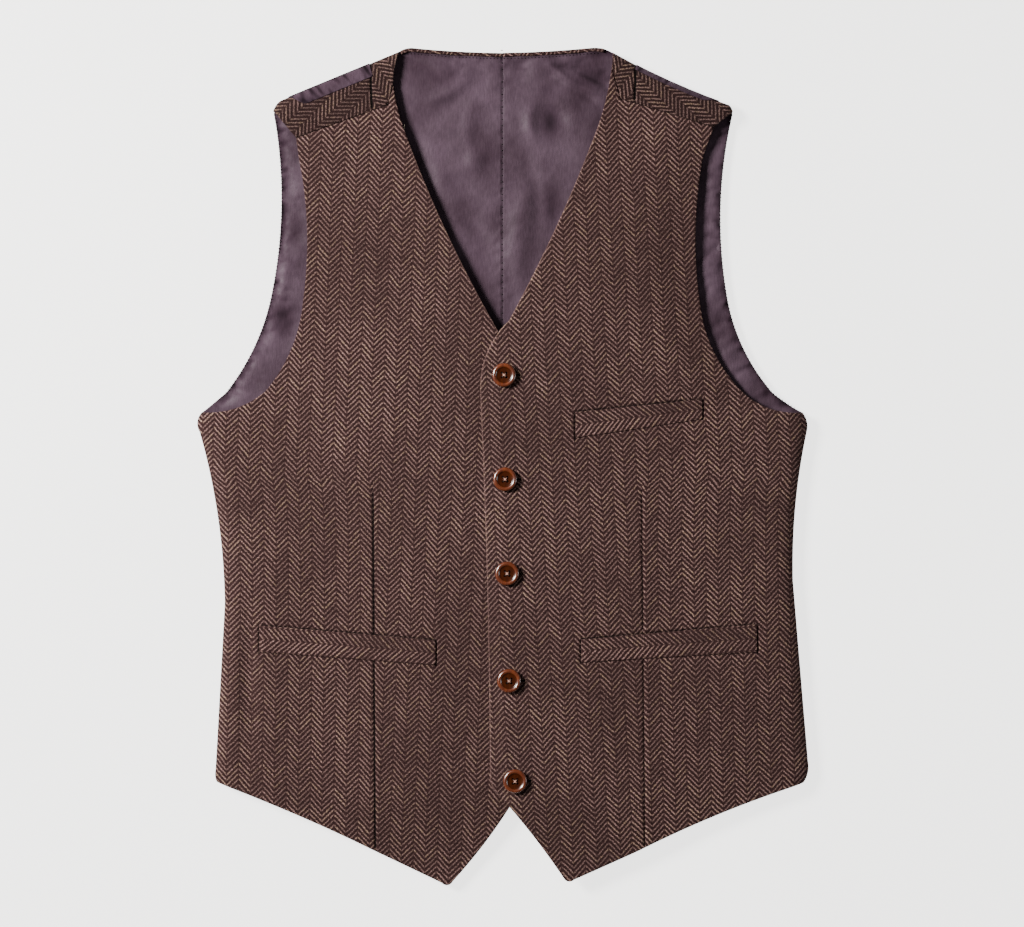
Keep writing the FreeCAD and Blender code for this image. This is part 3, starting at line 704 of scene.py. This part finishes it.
def mouth_of(welt):
    """The line round a welt's top and two ends, where the forepart dips into the pocket."""
    loop = plan_loops(welt)[0]
    top = loop[np.argsort(loop[:, 1])][-2:]
    low = loop[np.argsort(loop[:, 1])][:2]
    top, low = top[np.argsort(top[:, 0])], low[np.argsort(low[:, 0])]
    round_top = np.array([low[0], top[0], top[1], low[1]])
    outward = round_top - loop.mean(0)
    return round_top + 0.35 * MM * np.sign(outward)


def make_forepart(front, material):
    """The tweed of one front, with its dart and the pocket mouths."""
    side = front.side
    dart = np.array(DARTS[side])
    mouths = [mouth_of(w) for w in welt_nodes(side)]
    holes = [buttonhole_outline(k) for k in BUTTONS] if side == "left" else []
    level = front.level("tweed")

    def top(plan):
        height = level(plan)
        past, depth = past_dart(side, plan)
        height -= 1.0 * MM * depth * bell(past, 0.75 * MM)
        height += 0.35 * MM * depth * bell(past - 3 * MM, 2.5 * MM)
        for mouth in mouths:
            height -= 0.9 * MM * bell(distance(plan, mouth), 0.8 * MM)
        return height - 0.3 * MM * bell(distance(plan, front.yoke, True), 1.5 * MM)

    def shade(plan):
        past, depth = past_dart(side, plan)
        # The darts' seams are dark lines. On the left front a pale line beside the seam is a painted
        # highlight on the ridge that catches the light.
        dark = (0.95 if side == "right" else 0.5) * depth * bell(past, 0.8 * MM)
        if side == "left":
            dark -= 0.6 * depth * bell(past + 1.8 * MM, 1.0 * MM)
        # Painted shadow in the pocket mouths, with the dark stitching at the welts' ends, broken up along its
        # length.
        for mouth in mouths:
            mouth_shade_and_stitch = 0.62 + 0.3 * bumps(plan, 0.012, 8.8)
            dark = np.maximum(dark, mouth_shade_and_stitch * bell(distance(plan, mouth), 0.75 * MM, 4))
        dark = np.maximum(dark, 0.55 * bell(distance(plan, front.yoke, True), 0.6 * MM))
        # Painted highlight: a pale line along the front edge and the neck, which catch the light.
        return dark - 0.62 * bell(distance(plan, front.turned_edge), 1.2 * MM, 4)

    def grain(points, centres):
        beyond = past_dart(side, centres)[0] * front.sign > 0
        below = np.maximum(dart[0, 1] - points[:, 1], 0) / (dart[0, 1] - dart[1, 1])
        turned = turned_grain(SLANT[side])(points, centres)
        turned[:, 0] += np.where(beyond, front.sign * DART_TAKES * np.sqrt(below), 0)
        return turned

    piece = cloth(f"{side}_forepart_tweed", front.forepart, top, PLIES["tweed"]["thick"], material,
                  holes=holes, creases=[dart, *mouths, *front.bend_lines()], spacing=2.8 * MM, grain=grain,
                  shade=shade)
    declare([f"{side}_forepart", f"{side}_side_forepart"])
    front.bend(piece)


STRAP_SEAM_X = 106.5 * MM     # the seam between the neck strap and the rest of the yoke


def make_yoke(front, material):
    """The bias-cut shoulder piece, with the seam of the neck strap."""
    side = front.side
    seam_x = front.sign * STRAP_SEAM_X
    seam = np.array([(seam_x, 0.33), (seam_x - front.sign * 1.5 * MM, 0.286)])
    level = front.level("tweed")

    def top(plan):
        return level(plan) - 0.9 * MM * bell(distance(plan, seam), 0.8 * MM)

    def grain(points, centres):
        strap = centres[:, 0] * front.sign < seam_x * front.sign
        bias = turned_grain(math.radians(45) * front.sign)(points, centres)
        strap_grain = turned_grain(math.radians(-38) * front.sign, (3 * MM, 0))(points, centres)
        return np.where(strap[:, None], strap_grain, bias)

    def shade(plan):
        return np.maximum(bell(distance(plan, seam), 0.9 * MM, 4), 0.36)

    piece = cloth(f"{side}_yoke_tweed", front.yoke, top, PLIES["tweed"]["thick"], material,
                  creases=[seam], spacing=2.0 * MM, grain=grain, shade=shade)
    declare([f"{side}_shoulder_yoke"])
    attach(piece, "back")


WRAP_ENDS = (106.0 * MM, 173.0 * MM)                    # the ends of the satin along each shoulder
WRAP_WIDTH = {"left": 4.0 * MM, "right": 10.5 * MM}


def make_shoulder_wrap(front, lining):
    """The back's satin, which comes forward over the shoulder line outside the neck strap."""
    side = front.side
    line = front.shoulder_line[np.argsort(abs(front.shoulder_line[:, 0]))]
    line = resampled(line, 1.5 * MM)
    line = line[(abs(line[:, 0]) > WRAP_ENDS[0]) & (abs(line[:, 0]) < WRAP_ENDS[1])]
    share = (abs(line[:, 0]) - WRAP_ENDS[0]) / (WRAP_ENDS[1] - WRAP_ENDS[0])
    width = WRAP_WIDTH[side] * np.maximum(smoothstep((1 - share) / 0.2), 0.1)
    outer = line + np.array([0, 0.4 * MM])
    inner = line - np.column_stack([front.sign * 0.30 * width, 1.0 * width])
    loop = np.vstack([outer, inner[::-1]])[::-front.sign]
    level = front.level("tweed")

    def top(plan):
        edge = distance(plan, inner)
        puckers = 0.55 * MM * bumps(plan, 0.006, 3.3, (0.8, 3.0), -0.7 * front.sign)
        return level(plan) + 0.45 * MM + puckers * smoothstep(edge / (2 * MM))

    # Painted shade: dark streaks across the satin's puckers, a little over the whole strip, which faces the
    # light, and a dark line along its inner edge beside the tweed.
    def shade(plan):
        streaks = 0.9 * np.maximum(bumps(plan, 0.0045, 6.3, (0.7, 2.5), -0.7 * front.sign), 0) + 0.22
        return np.maximum(streaks, 0.6 * bell(distance(plan, inner), 0.5 * MM))

    piece = cloth(f"{side}_shoulder_wrap_satin", loop, top, 0.8 * MM, lining,
                  spacing=1.3 * MM, shade=shade)
    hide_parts(f"back_outer_{side}")
    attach(piece, "back")


def make_inside(front, tweed, lining, canvas, pocketing):
    """The facing, the front lining, the canvas and the pocket bags."""
    side = front.side
    holes = [buttonhole_outline(k) for k in BUTTONS] if side == "left" else []
    front_lining = f"{side}_front_lining_satin"
    back_lining = f"back_lining_{side}_satin"
    plies = (
        ("facing", f"{side}_facing_tweed", front.facing, [f"{side}_facing"],
         front.forepart, tweed, "tweed", holes, back_lining),
        ("front_lining", front_lining, front.lining, [f"{side}_lining", f"{side}_side_lining"],
         front.forepart, lining, "lining_satin", (), back_lining),
        ("canvas", f"{side}_canvas_cloth", front.canvas, [f"{side}_canvas"],
         None, canvas, "canvas", holes, front_lining),
    )
    for ply, name, outline, stands_for, free_edge, material, slot, cut, under in plies:
        piece = cloth(name, outline, front.level(ply, free_edge), PLIES[ply]["thick"], material,
                      holes=cut, creases=front.bend_lines(), spacing=4 * MM)
        declare(stands_for)
        if ply == "canvas":
            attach(piece, front.body)
        else:
            front.bend(piece)
    for bag in [n for n in nodes if n.startswith(side) and n.endswith("_pocket_bag")]:
        outline = plan_loops(bag)[0]
        piece = cloth(f"{bag}_cloth", outline, front.level("canvas"), 0.5 * MM, pocketing,
                      creases=front.bend_lines(), spacing=5 * MM)
        declare([bag])
        front.bend(piece)


def make_welts(front, material):
    """The pocket welts, cut across the grain so that their strokes point sideways."""
    for node in welt_nodes(front.side):
        loop = plan_loops(node)[0]
        centre = loop.mean(0)
        right = loop[loop[:, 0] > centre[0]].mean(0)
        angle = math.atan2(*(right - centre)[::-1])
        level = front.level("tweed")

        def top(plan):
            crown = 0.25 * MM * smoothstep(distance(plan, loop, True) / (5 * MM))
            return level(plan) + 0.75 * MM + crown + 0.12 * MM * bumps(plan, 0.02, 2.2)

        piece = cloth(f"{node}_tweed", loop, top, 1.3 * MM, material, creases=front.bend_lines(),
                      spacing=1.8 * MM, grain=turned_grain(angle - math.pi / 2, centre))
        declare([node])
        front.bend(piece)


# ---------------------------------------------------------------- buttons and buttonholes

def button_centre(k):
    low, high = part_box(f"button_{k}")
    return (low + high) / 2


def buttonhole_outline(k):
    """The slit inside a buttonhole's ring of stitches, anticlockwise."""
    slit = smoothed(plan_loops(f"buttonhole_{k}")[1], 0.8 * MM)
    centre = button_centre(k)
    beyond = smoothstep((abs(slit[:, 0] - centre.x) - 3 * MM) / (4 * MM))
    slit[:, 1] = centre.y + (slit[:, 1] - centre.y) * (1 - 0.6 * beyond)
    x, y = slit.T
    anticlockwise = np.dot(x, np.roll(y, -1)) > np.dot(y, np.roll(x, -1))
    return slit if anticlockwise else slit[::-1]


def lathe(profile, centre, turns=64):
    """A mesh made by turning (radius, height) points about the vertical through a centre."""
    bm = bmesh.new()
    rings = []
    for radius, height in profile:
        if radius == 0:
            rings.append([bm.verts.new((centre.x, centre.y, height))] * turns)
            continue
        rings.append([bm.verts.new((centre.x + radius * math.cos(a), centre.y + radius * math.sin(a), height))
                      for a in np.arange(turns) * 2 * math.pi / turns])
    for lower, upper in zip(rings, rings[1:]):
        for i in range(turns):
            corners = [lower[i], lower[(i + 1) % turns], upper[(i + 1) % turns], upper[i]]
            bm.faces.new(list(dict.fromkeys(corners)))
    bmesh.ops.recalc_face_normals(bm, faces=bm.faces)
    return bm


def tube(bm, path, radius, sides=8):
    """Adds a round tube along a path, closed at its ends, to a mesh."""
    path = [Vector(p) for p in path]
    rings = []
    for i, here in enumerate(path):
        along = (path[min(i + 1, len(path) - 1)] - path[max(i - 1, 0)]).normalized()
        across = along.cross(Vector((0.13, 0.31, 0.94))).normalized()
        up = along.cross(across)
        share = 0.45 if i in (0, len(path) - 1) else 1.0
        rings.append([bm.verts.new(here + radius * share * (across * math.cos(a) + up * math.sin(a)))
                      for a in np.arange(sides) * 2 * math.pi / sides])
    for lower, upper in zip(rings, rings[1:]):
        for i in range(sides):
            bm.faces.new((lower[i], lower[(i + 1) % sides], upper[(i + 1) % sides], upper[i]))
    bm.faces.new(rings[0][::-1])
    bm.faces.new(rings[-1])


def from_bmesh(name, bm, material):
    """A shaded object made from an editable mesh, which is freed."""
    bmesh.ops.recalc_face_normals(bm, faces=bm.faces)
    mesh = bpy.data.meshes.new(name)
    bm.to_mesh(mesh)
    bm.free()
    return finished(name, mesh, material)


HOLE_OFFSET = 1.75 * MM
HOLE_RADIUS = 0.95 * MM
RIM_RADIUS = 1.7 * MM
DISH_DEPTH = 1.23 * MM
# The dish's profile from the rim inwards: shares of the button's radius and depths in millimetres.
DISH = ((0.76, 0.10), (0.70, 0.34), (0.65, 0.78), (0.60, 1.06), (0.52, 1.18), (0.35, 1.22), (0.15, 1.23))


def plan_distance(mesh, centre):
    """How far each point of a mesh is from a vertical line."""
    points = np.array([tuple(v.co) for v in mesh.vertices])
    return np.hypot(points[:, 0] - centre.x, points[:, 1] - centre.y)


def make_button(k, material):
    """A four-hole button with a rounded rim and a dished middle."""
    low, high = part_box(f"button_{k}")
    centre = (low + high) / 2
    base, top = low.z, high.z
    radius = (high.x - low.x) / 2
    rim = [(radius - RIM_RADIUS + RIM_RADIUS * math.cos(a), top - RIM_RADIUS + RIM_RADIUS * math.sin(a))
           for a in np.radians(np.arange(-75, 91, 11))]
    dish = [(radius * share, top - drop * MM) for share, drop in DISH]
    profile = [(0, base), (radius * 0.55, base), (radius * 0.78, base + 0.35 * MM),
               *rim, *dish, (0, top - DISH_DEPTH)]
    piece = from_bmesh(f"button_{k}_horn", lathe(profile, centre), material)
    drill = bmesh.new()
    for x in (-1, 1):
        for y in (-1, 1):
            spot = (centre.x + x * HOLE_OFFSET, centre.y + y * HOLE_OFFSET, (base + top) / 2)
            bmesh.ops.create_cone(drill, cap_ends=True, segments=20, radius1=HOLE_RADIUS,
                                  radius2=HOLE_RADIUS, depth=8 * MM, matrix=Matrix.Translation(spot))
    cutter = from_bmesh(f"button_{k}_cutter", drill, material)
    holes = piece.modifiers.new("holes", "BOOLEAN")
    holes.object = cutter
    holes.operation = "DIFFERENCE"
    soften = piece.modifiers.new("soften", "BEVEL")
    soften.width = 0.16 * MM
    soften.segments = 2
    soften.angle_limit = math.radians(50)
    bpy.context.view_layer.update()
    drilled = bpy.data.meshes.new_from_object(piece.evaluated_get(bpy.context.evaluated_depsgraph_get()))
    piece.modifiers.clear()
    drilled.set_sharp_from_angle(angle=math.radians(38))
    piece.data = drilled
    bpy.data.objects.remove(cutter)
    mark(drilled, smoothstep((0.72 * radius - plan_distance(drilled, centre)) / (0.8 * MM)))
    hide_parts(f"button_{k}")
    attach(piece, f"button_{k}")


def make_button_thread(k, material):
    """Two crossed pairs of strands through the button's holes."""
    low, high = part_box(f"button_{k}")
    centre = (low + high) / 2
    dish_z = high.z - 1.22 * MM
    reach = HOLE_OFFSET * math.sqrt(2)
    bm = bmesh.new()
    for turn, crossing in ((45, 0.0), (135, 0.35 * MM)):
        along = Vector((math.cos(math.radians(turn)), math.sin(math.radians(turn)), 0))
        across = Vector((-along.y, along.x, 0))
        for strand in (-0.6, 0.6):
            path = []
            for share in np.linspace(-1, 1, 15):
                arch = (0.62 * MM + crossing) * (1 - share**2) ** 0.5
                dip = 0.9 * MM * max(0, abs(share) - 0.9) / 0.1
                spot = Vector((centre.x, centre.y, dish_z + arch - dip + 0.1 * MM))
                path.append(spot + along * reach * share + across * strand * 0.34 * MM)
            tube(bm, path, 0.24 * MM)
    stitch = from_bmesh(f"button_{k}_cross_stitch", bm, material)
    # Painted highlight where the strands cross, and painted shade where they go down into the holes.
    mark(stitch.data, 1.6 * smoothstep((plan_distance(stitch.data, centre) - 0.7 * MM) / (0.9 * MM)) - 0.6)
    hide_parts(f"button_thread_{k}")
    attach(stitch, f"button_{k}")


def make_shank(k, material):
    """The thread wound round between the button and the cloth."""
    centre = button_centre(k)
    low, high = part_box(f"button_shank_{k}")
    turns = (high.z - low.z) / (0.62 * MM)
    count = int(turns * 16)
    path = []
    for share in np.arange(count + 1) / count:
        angle = 2 * math.pi * turns * share
        wide = 1.12 * MM + 0.25 * MM * (2 * share - 1) ** 2
        path.append((centre.x + wide * math.cos(angle), centre.y + wide * math.sin(angle),
                     low.z + (high.z - low.z) * share))
    bm = bmesh.new()
    tube(bm, path, 0.36 * MM, sides=6)
    tube(bm, [(centre.x, centre.y, low.z), (centre.x, centre.y, high.z)], 1.1 * MM)
    shank = from_bmesh(f"button_{k}_wound_shank", bm, material)
    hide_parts(f"button_shank_{k}")
    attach(shank, "right_front")


def make_buttonhole(k, front, material):
    """The thread worked round the slit: short stitches side by side, with a knot along the edge."""
    line = smoothed(buttonhole_outline(k), 0.55 * MM)
    out = -normals(line, True)
    heights = front.level("tweed")(line)
    bm = bmesh.new()
    for spot, away, height in zip(line, out, heights):
        inner = Vector((*(spot - away * 0.05 * MM), height - 0.35 * MM))
        middle = Vector((*(spot + away * 0.25 * MM), height + 0.22 * MM))
        outer = Vector((*(spot + away * 1.25 * MM), height - 0.05 * MM))
        tube(bm, [inner, middle, (middle + outer) / 2 + Vector((0, 0, 0.12 * MM)), outer], 0.24 * MM, sides=6)
    piece = from_bmesh(f"buttonhole_{k}_stitching", bm, material)
    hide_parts(f"buttonhole_{k}")
    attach(piece, front.body)


# ---------------------------------------------------------------- the back

ARMHOLE_LIFT = {"left": 1.5 * MM, "right": 0.0}       # how much higher the back's free edge lies
CENTRE_SEAM = np.array([(-1.6 * MM, 0.334), (-1.6 * MM, -0.263)])


def back_level(front, ply, wrinkles):
    """The height of one of the back's two layers."""
    heights = PLIES[ply]

    def top(plan):
        height = np.full(len(plan), heights["flat"])
        at_side = rolled(distance(plan, front.side_line), SIDE_ROLL)
        at_shoulder = rolled(distance(plan, front.shoulder_line), SIDE_ROLL * 0.7)
        sewn = np.minimum(distance(plan, front.side_line), distance(plan, front.shoulder_line))
        free = smoothstep(1 - distance(plan, front.back) / (11 * MM))
        free *= smoothstep((sewn - 4 * MM) / (12 * MM))
        height += (heights["free"] + ARMHOLE_LIFT[front.side] - heights["flat"]) * free
        height += (heights["side"] - heights["flat"]) * at_side
        height += (heights["shoulder"] - heights["flat"]) * at_shoulder
        return height + wrinkles(plan)
    return top


# Folds in the lining: the ends (mm), half the width and the height (mm).
FOLDS = (
    ((30, 331), (92, 298), 3.2, 3.0), ((36, 322), (100, 288), 3.2, -2.2), ((46, 325), (104, 304), 2.6, 1.8),
    ((26, 316), (84, 280), 3.8, -1.6), ((24, 296), (30, 254), 5.5, 2.6), ((24, 290), (56, 268), 7.0, -2.4),
    ((25, 236), (27, 112), 8.0, 1.7), ((34, 232), (46, 186), 8.0, -2.2), ((8, 270), (20, 150), 6.0, -1.4),
    ((-76, 290), (-20, 322), 5.0, 1.6), ((-66, 268), (-14, 300), 8.0, -1.8),
    ((-52, 232), (-6, 266), 8.0, 1.9), ((-42, 210), (-8, 158), 7.0, -1.6),
    ((-58, 262), (-24, 200), 7.0, 1.6), ((-18, 318), (-12, 214), 6.0, 1.2),
)

# Hollows where the lining lies in its own shade: the middle and half the size (mm), and how dark.
HOLLOWS = (
    ((37, 276), (8, 14), 0.62), ((72, 312), (16, 9), 0.50), ((54, 322), (26, 7), 0.32),
    ((-44, 313), (34, 11), 0.26), ((-14, 248), (15, 12), 0.12), ((38, 205), (9, 22), 0.38),
    ((16, 300), (12, 24), 0.16), ((-20, 150), (10, 26), 0.25), ((-178, 120), (12, 17), 0.45),
    ((-172, 170), (6, 30), 0.22), ((36, 300), (10, 10), 0.30),
)


def folded(plan, start, end, width, height):
    """One fold's height over the plan, fading at its ends."""
    start, end = np.array(start) * MM, np.array(end) * MM
    length = np.linalg.norm(end - start)
    along = (end - start) / length
    share = ((plan - start) @ along) / length
    off = (plan - start) @ np.array([-along[1], along[0]])
    off = off + 0.12 * length * np.sin(math.pi * share) * np.sign(height)
    return height * MM * bell(off, width * MM) * np.sin(math.pi * np.clip(share, 0, 1)) ** 1.5


def lining_wrinkles(front):
    """Soft folds across the lining, and puckers along the seam and the armhole."""
    def wrinkles(plan):
        edge = distance(plan, front.back)
        seam = distance(plan, CENTRE_SEAM)
        folds = 1.2 * MM * bumps(plan, 0.045, 4.2, (0.7, 1.8), 0.45)
        folds += 0.7 * MM * bumps(plan, 0.02, 1.3, (0.7, 2), -0.3)
        for fold in FOLDS:
            folds += folded(plan, *fold)
        folds *= smoothstep(edge / (9 * MM))
        pucker = 0.7 * MM * bumps(plan, 0.0045, 9.1, (2.6, 1.0), 0.5) * np.exp(-seam / (6 * MM))
        gathers = 1.7 * MM * bumps(plan, 0.0062, 5.5, (2.3, 0.9), 0.35 * front.sign)
        gathers *= bell(edge, 24 * MM) * smoothstep(edge / (2 * MM))
        return np.maximum(folds, -2.2 * MM) + pucker + gathers
    return wrinkles


def satin_wrinkles(plan):
    """The outer back rises over the strap channel and puckers along its centre seam."""
    low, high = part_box("cinch_strap_left")
    middle = (low.y + high.y) / 2
    half = (high.y - low.y) / 2
    over = smoothstep((half + 7 * MM - abs(plan[:, 1] - middle)) / (5.5 * MM))
    over *= smoothstep((high.x + 6 * MM - abs(plan[:, 0])) / (5.5 * MM))
    seam = distance(plan, CENTRE_SEAM)
    pucker = 0.3 * MM * abs(bumps(plan, 0.012, 2.6, (3, 1))) * np.exp(-seam / (9 * MM))
    lift = 0.4 * MM * abs(bumps(plan, 0.05, 6.6, (0.7, 2.0), 0.2)) + pucker
    return 3.0 * MM * over + lift * (1 - over)


def make_back(front, lining, outer):
    """One half of the back: its lining, and the satin under it."""
    side = front.side
    outline = plan_loops(f"back_lining_{side}")[0]

    # The centre seam is a broken dark line. The rest is painted shade: along the free edges, under the
    # gathers and the tweed's shadow; in the listed hollows; and in patches of puckers near the edges.
    def shade(plan):
        broken = 0.55 + 0.4 * bumps(plan, 0.004, 6.1)
        dark = broken * bell(distance(plan, CENTRE_SEAM), 0.8 * MM)
        edge = distance(plan, front.back)
        streaks = np.maximum(bumps(plan, 0.0035, 2.9, (1.6, 1.6)), 0)
        dark = np.maximum(dark, (0.35 + 0.6 * streaks) * bell(edge, 5 * MM))
        for middle, half, amount in HOLLOWS:
            off = (plan - np.array(middle) * MM) / (np.array(half) * MM)
            dark = np.maximum(dark, amount * np.exp(-(off**2).sum(1)))
        patches = np.maximum(bumps(plan, 0.005, 8.1, (2.0, 1.0), 0.4), 0)
        return dark + 0.5 * patches * bell(edge, 20 * MM)

    level = back_level(front, "back_lining", lining_wrinkles(front))
    piece = cloth(f"back_lining_{side}_satin", outline, level, PLIES["back_lining"]["thick"], lining,
                  creases=[CENTRE_SEAM + [front.sign * MM, 0]], spacing=2.2 * MM, shade=shade)
    declare([f"back_lining_{side}"])
    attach(piece, "back")
    piece = cloth(f"back_{side}_satin", front.back, back_level(front, "back", satin_wrinkles),
                  PLIES["back"]["thick"], outer, spacing=3.4 * MM)
    declare([f"back_outer_{side}"])
    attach(piece, "back")


def neck_line(fronts):
    """The outer edge of the back of the neck, from the wearer's right to the left."""
    edges = np.vstack([front.back for front in fronts.values()])
    neck = edges[(edges[:, 1] > 0.3) & (abs(edges[:, 0]) < 0.083)]
    return neck[np.argsort(neck[:, 0])]


def neck_level(fronts, wrinkles):
    """The height of the back's lining across the centre seam."""
    levels = {side: back_level(front, "back_lining", wrinkles(front)) for side, front in fronts.items()}

    def top(plan):
        return np.where(plan[:, 0] > 0, levels["left"](plan), levels["right"](plan))
    return top


def make_neck_edge(fronts, tweed):
    """The narrow tweed edge round the back of the neck."""
    outer = resampled(neck_line(fronts), 1.5 * MM)
    inner = outer - normals(outer) * 3.0 * MM
    outline = np.vstack([outer, inner[::-1]])[::-1]
    level = neck_level(fronts, lambda front: lambda plan: 0.0)

    def top(plan):
        return level(plan) + 1.3 * MM + 0.25 * MM * bumps(plan, 0.003, 4.4)

    piece = cloth("neck_edge_tweed", outline, top, 1.4 * MM, tweed, spacing=0.9 * MM,
                  grain=turned_grain(math.radians(20)),
                  shade=lambda plan: 0.15 + 0.3 * bumps(plan, 0.0025, 1.9))
    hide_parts("back_neck_binding")
    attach(piece, "back")


def stitches(name, path, pitch, reach, height, material, node, across=True):
    """A row of short stitches along a path in plan, at a height for each place."""
    spots = resampled(path, pitch)
    directions = normals(spots)
    if not across:
        directions = np.column_stack([directions[:, 1], -directions[:, 0]])
    bm = bmesh.new()
    for spot, direction, z in zip(spots, directions, height(spots)):
        ends = [spot - direction * reach / 2, spot, spot + direction * reach / 2]
        tube(bm, [(*p, z + lift * MM) for p, lift in zip(ends, (-0.1, 0.3, -0.1))], 0.42 * MM, sides=6)
    piece = from_bmesh(name, bm, material)
    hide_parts(node)
    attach(piece, "back")


def make_pricked_stitches(fronts, material):
    """Small stitches along the armholes, the centre seam and the back of the neck."""
    for side, front in fronts.items():
        edge = front.back
        armhole = edge[(edge[:, 1] > SIDE_SEAM[1]) & (edge[:, 1] < SHOULDER_Y) & (abs(edge[:, 0]) > 0.12)]
        level = back_level(front, "back_lining", lining_wrinkles(front))
        inset = normals(armhole) * 0.6 * MM
        inward = 1 if (inset[len(inset) // 2, 0] * front.sign) < 0 else -1
        stitches(f"{side}_armhole_stitches", armhole + inward * inset, 2.9 * MM, 2.2 * MM, level, material,
                 f"back_lining_{side}")
        if side == "left":
            stitches("centre_seam_stitches", CENTRE_SEAM + [0.6 * MM, 0], 5.0 * MM, 1.8 * MM, level, material,
                     "back_lining_left")
    neck = resampled(neck_line(fronts), 3 * MM)[2:-2]
    neck = neck - normals(neck) * 4.4 * MM
    stitches("neck_stitches", neck, 2.8 * MM, 1.0 * MM, neck_level(fronts, lining_wrinkles), material,
             "back_neck_binding", across=False)


def make_straps(outer):
    """The two cinch straps, flat inside their channel."""
    for side in SIGN:
        node = f"cinch_strap_{side}"
        low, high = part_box(node)
        outline = np.array([(low.x, low.y), (high.x, low.y), (high.x, high.y), (low.x, high.y)])
        piece = cloth(f"{node}_satin", outline, lambda plan: np.full(len(plan), high.z), high.z - low.z,
                      outer, spacing=2.5 * MM)
        declare([node])
        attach(piece, "back")


# ---------------------------------------------------------------- build

tweeds = {side: herringbone(f"{side}_herringbone", APEX[side]) for side in SIGN}
cross_tweed = herringbone("turned_herringbone")
lining_satin = satin("lining_satin")
back_satin = satin("back_satin", 0.92)
canvas_cloth = plain_weave("hair_canvas", (0.42, 0.36, 0.27), (0.17, 0.13, 0.09), 0.9 * MM)
pocketing = plain_weave("pocketing", (0.20, 0.17, 0.16), (0.10, 0.08, 0.08), 0.5 * MM)
pale_thread = thread("pale_thread", (0.30, 0.17, 0.13), (0.12, 0.06, 0.045))
brown_thread = thread("brown_thread", (0.075, 0.042, 0.034), (0.020, 0.010, 0.008))
dark_thread = thread("dark_thread", (0.012, 0.008, 0.011), (0.005, 0.003, 0.004))
horn_material = horn()

fronts = {side: Front(side) for side in SIGN}
for side, front in fronts.items():
    make_back(front, lining_satin, back_satin)
    make_inside(front, tweeds[side], lining_satin, canvas_cloth, pocketing)
    make_forepart(front, tweeds[side])
    make_yoke(front, cross_tweed)
    make_welts(front, cross_tweed)
    make_shoulder_wrap(front, lining_satin)
make_neck_edge(fronts, cross_tweed)
make_pricked_stitches(fronts, dark_thread)
make_straps(back_satin)
for k in BUTTONS:
    make_button(k, horn_material)
    make_button_thread(k, pale_thread)
    make_shank(k, pale_thread)
    make_buttonhole(k, fronts["left"], brown_thread)
nodes["strap_slider"].data.materials.clear()
nodes["strap_slider"].data.materials.append(metal())


# ---------------------------------------------------------------- stage

def make_floor():
    """A pale light table: it glows evenly, so the garment's shadow on it is faint."""
    s = Shader("light_table", roughness=0.9)
    tone = s.noise(s.object_place(), 3, 4)
    material = s.finish(s.ramp(tone, (0.3, (0.24, 0.24, 0.237)), (0.7, (0.27, 0.27, 0.267))))
    s.surface.inputs["Emission Color"].default_value = (1.0, 0.99, 0.975, 1)
    s.surface.inputs["Emission Strength"].default_value = 2.7
    bpy.ops.mesh.primitive_plane_add(size=60, location=(0, 0, -0.2 * MM))
    floor = bpy.context.object
    floor.name = "floor"
    floor.data.materials.append(material)


def area_light(name, place, size, power, colour=(1, 1, 1)):
    """A square lamp that points at the middle of the garment."""
    light = bpy.data.lights.new(name, "AREA")
    light.size = size
    light.energy = power
    light.color = colour
    lamp = bpy.data.objects.new(name, light)
    lamp.location = place
    lamp.rotation_euler = (-Vector(place)).to_track_quat("-Z", "Y").to_euler()
    bpy.context.scene.collection.objects.link(lamp)
    return lamp


FRAME_WIDTH = 1.671           # width of the view, in widths of the garment
FRAME_SHIFT = Vector((7.3 * MM, 2.2 * MM, 0))       # the garment lies a little off the middle
CAMERA_HEIGHT = 2.5


def make_camera():
    """A camera straight above the garment."""
    low, high = cad_box
    centre = (low + high) / 2
    cloth_top = PLIES["tweed"]["flat"]
    data = bpy.data.cameras.new("camera")
    data.sensor_width = 36
    data.lens = data.sensor_width * CAMERA_HEIGHT / ((high.x - low.x) * FRAME_WIDTH)
    camera = bpy.data.objects.new("camera", data)
    camera.location = Vector((centre.x, centre.y, cloth_top + CAMERA_HEIGHT)) + FRAME_SHIFT
    bpy.context.scene.collection.objects.link(camera)
    bpy.context.scene.camera = camera


def make_lights():
    """A key light from the upper left, as the shadows need, with a weak fill from above and the right."""
    area_light("key", (-1.6, 0.7, 1.28), 0.6, 270, (1.0, 0.985, 0.96))
    area_light("top", (0.2, 0.3, 2.4), 2.2, 9).visible_glossy = False
    area_light("right", (1.5, -0.2, 0.55), 0.5, 9)
    world = bpy.data.worlds.new("studio")
    bpy.context.scene.world = world
    world.use_nodes = True
    world.node_tree.nodes["Background"].inputs["Color"].default_value = (1, 1, 1, 1)
    world.node_tree.nodes["Background"].inputs["Strength"].default_value = 0.13


make_floor()
make_lights()
make_camera()
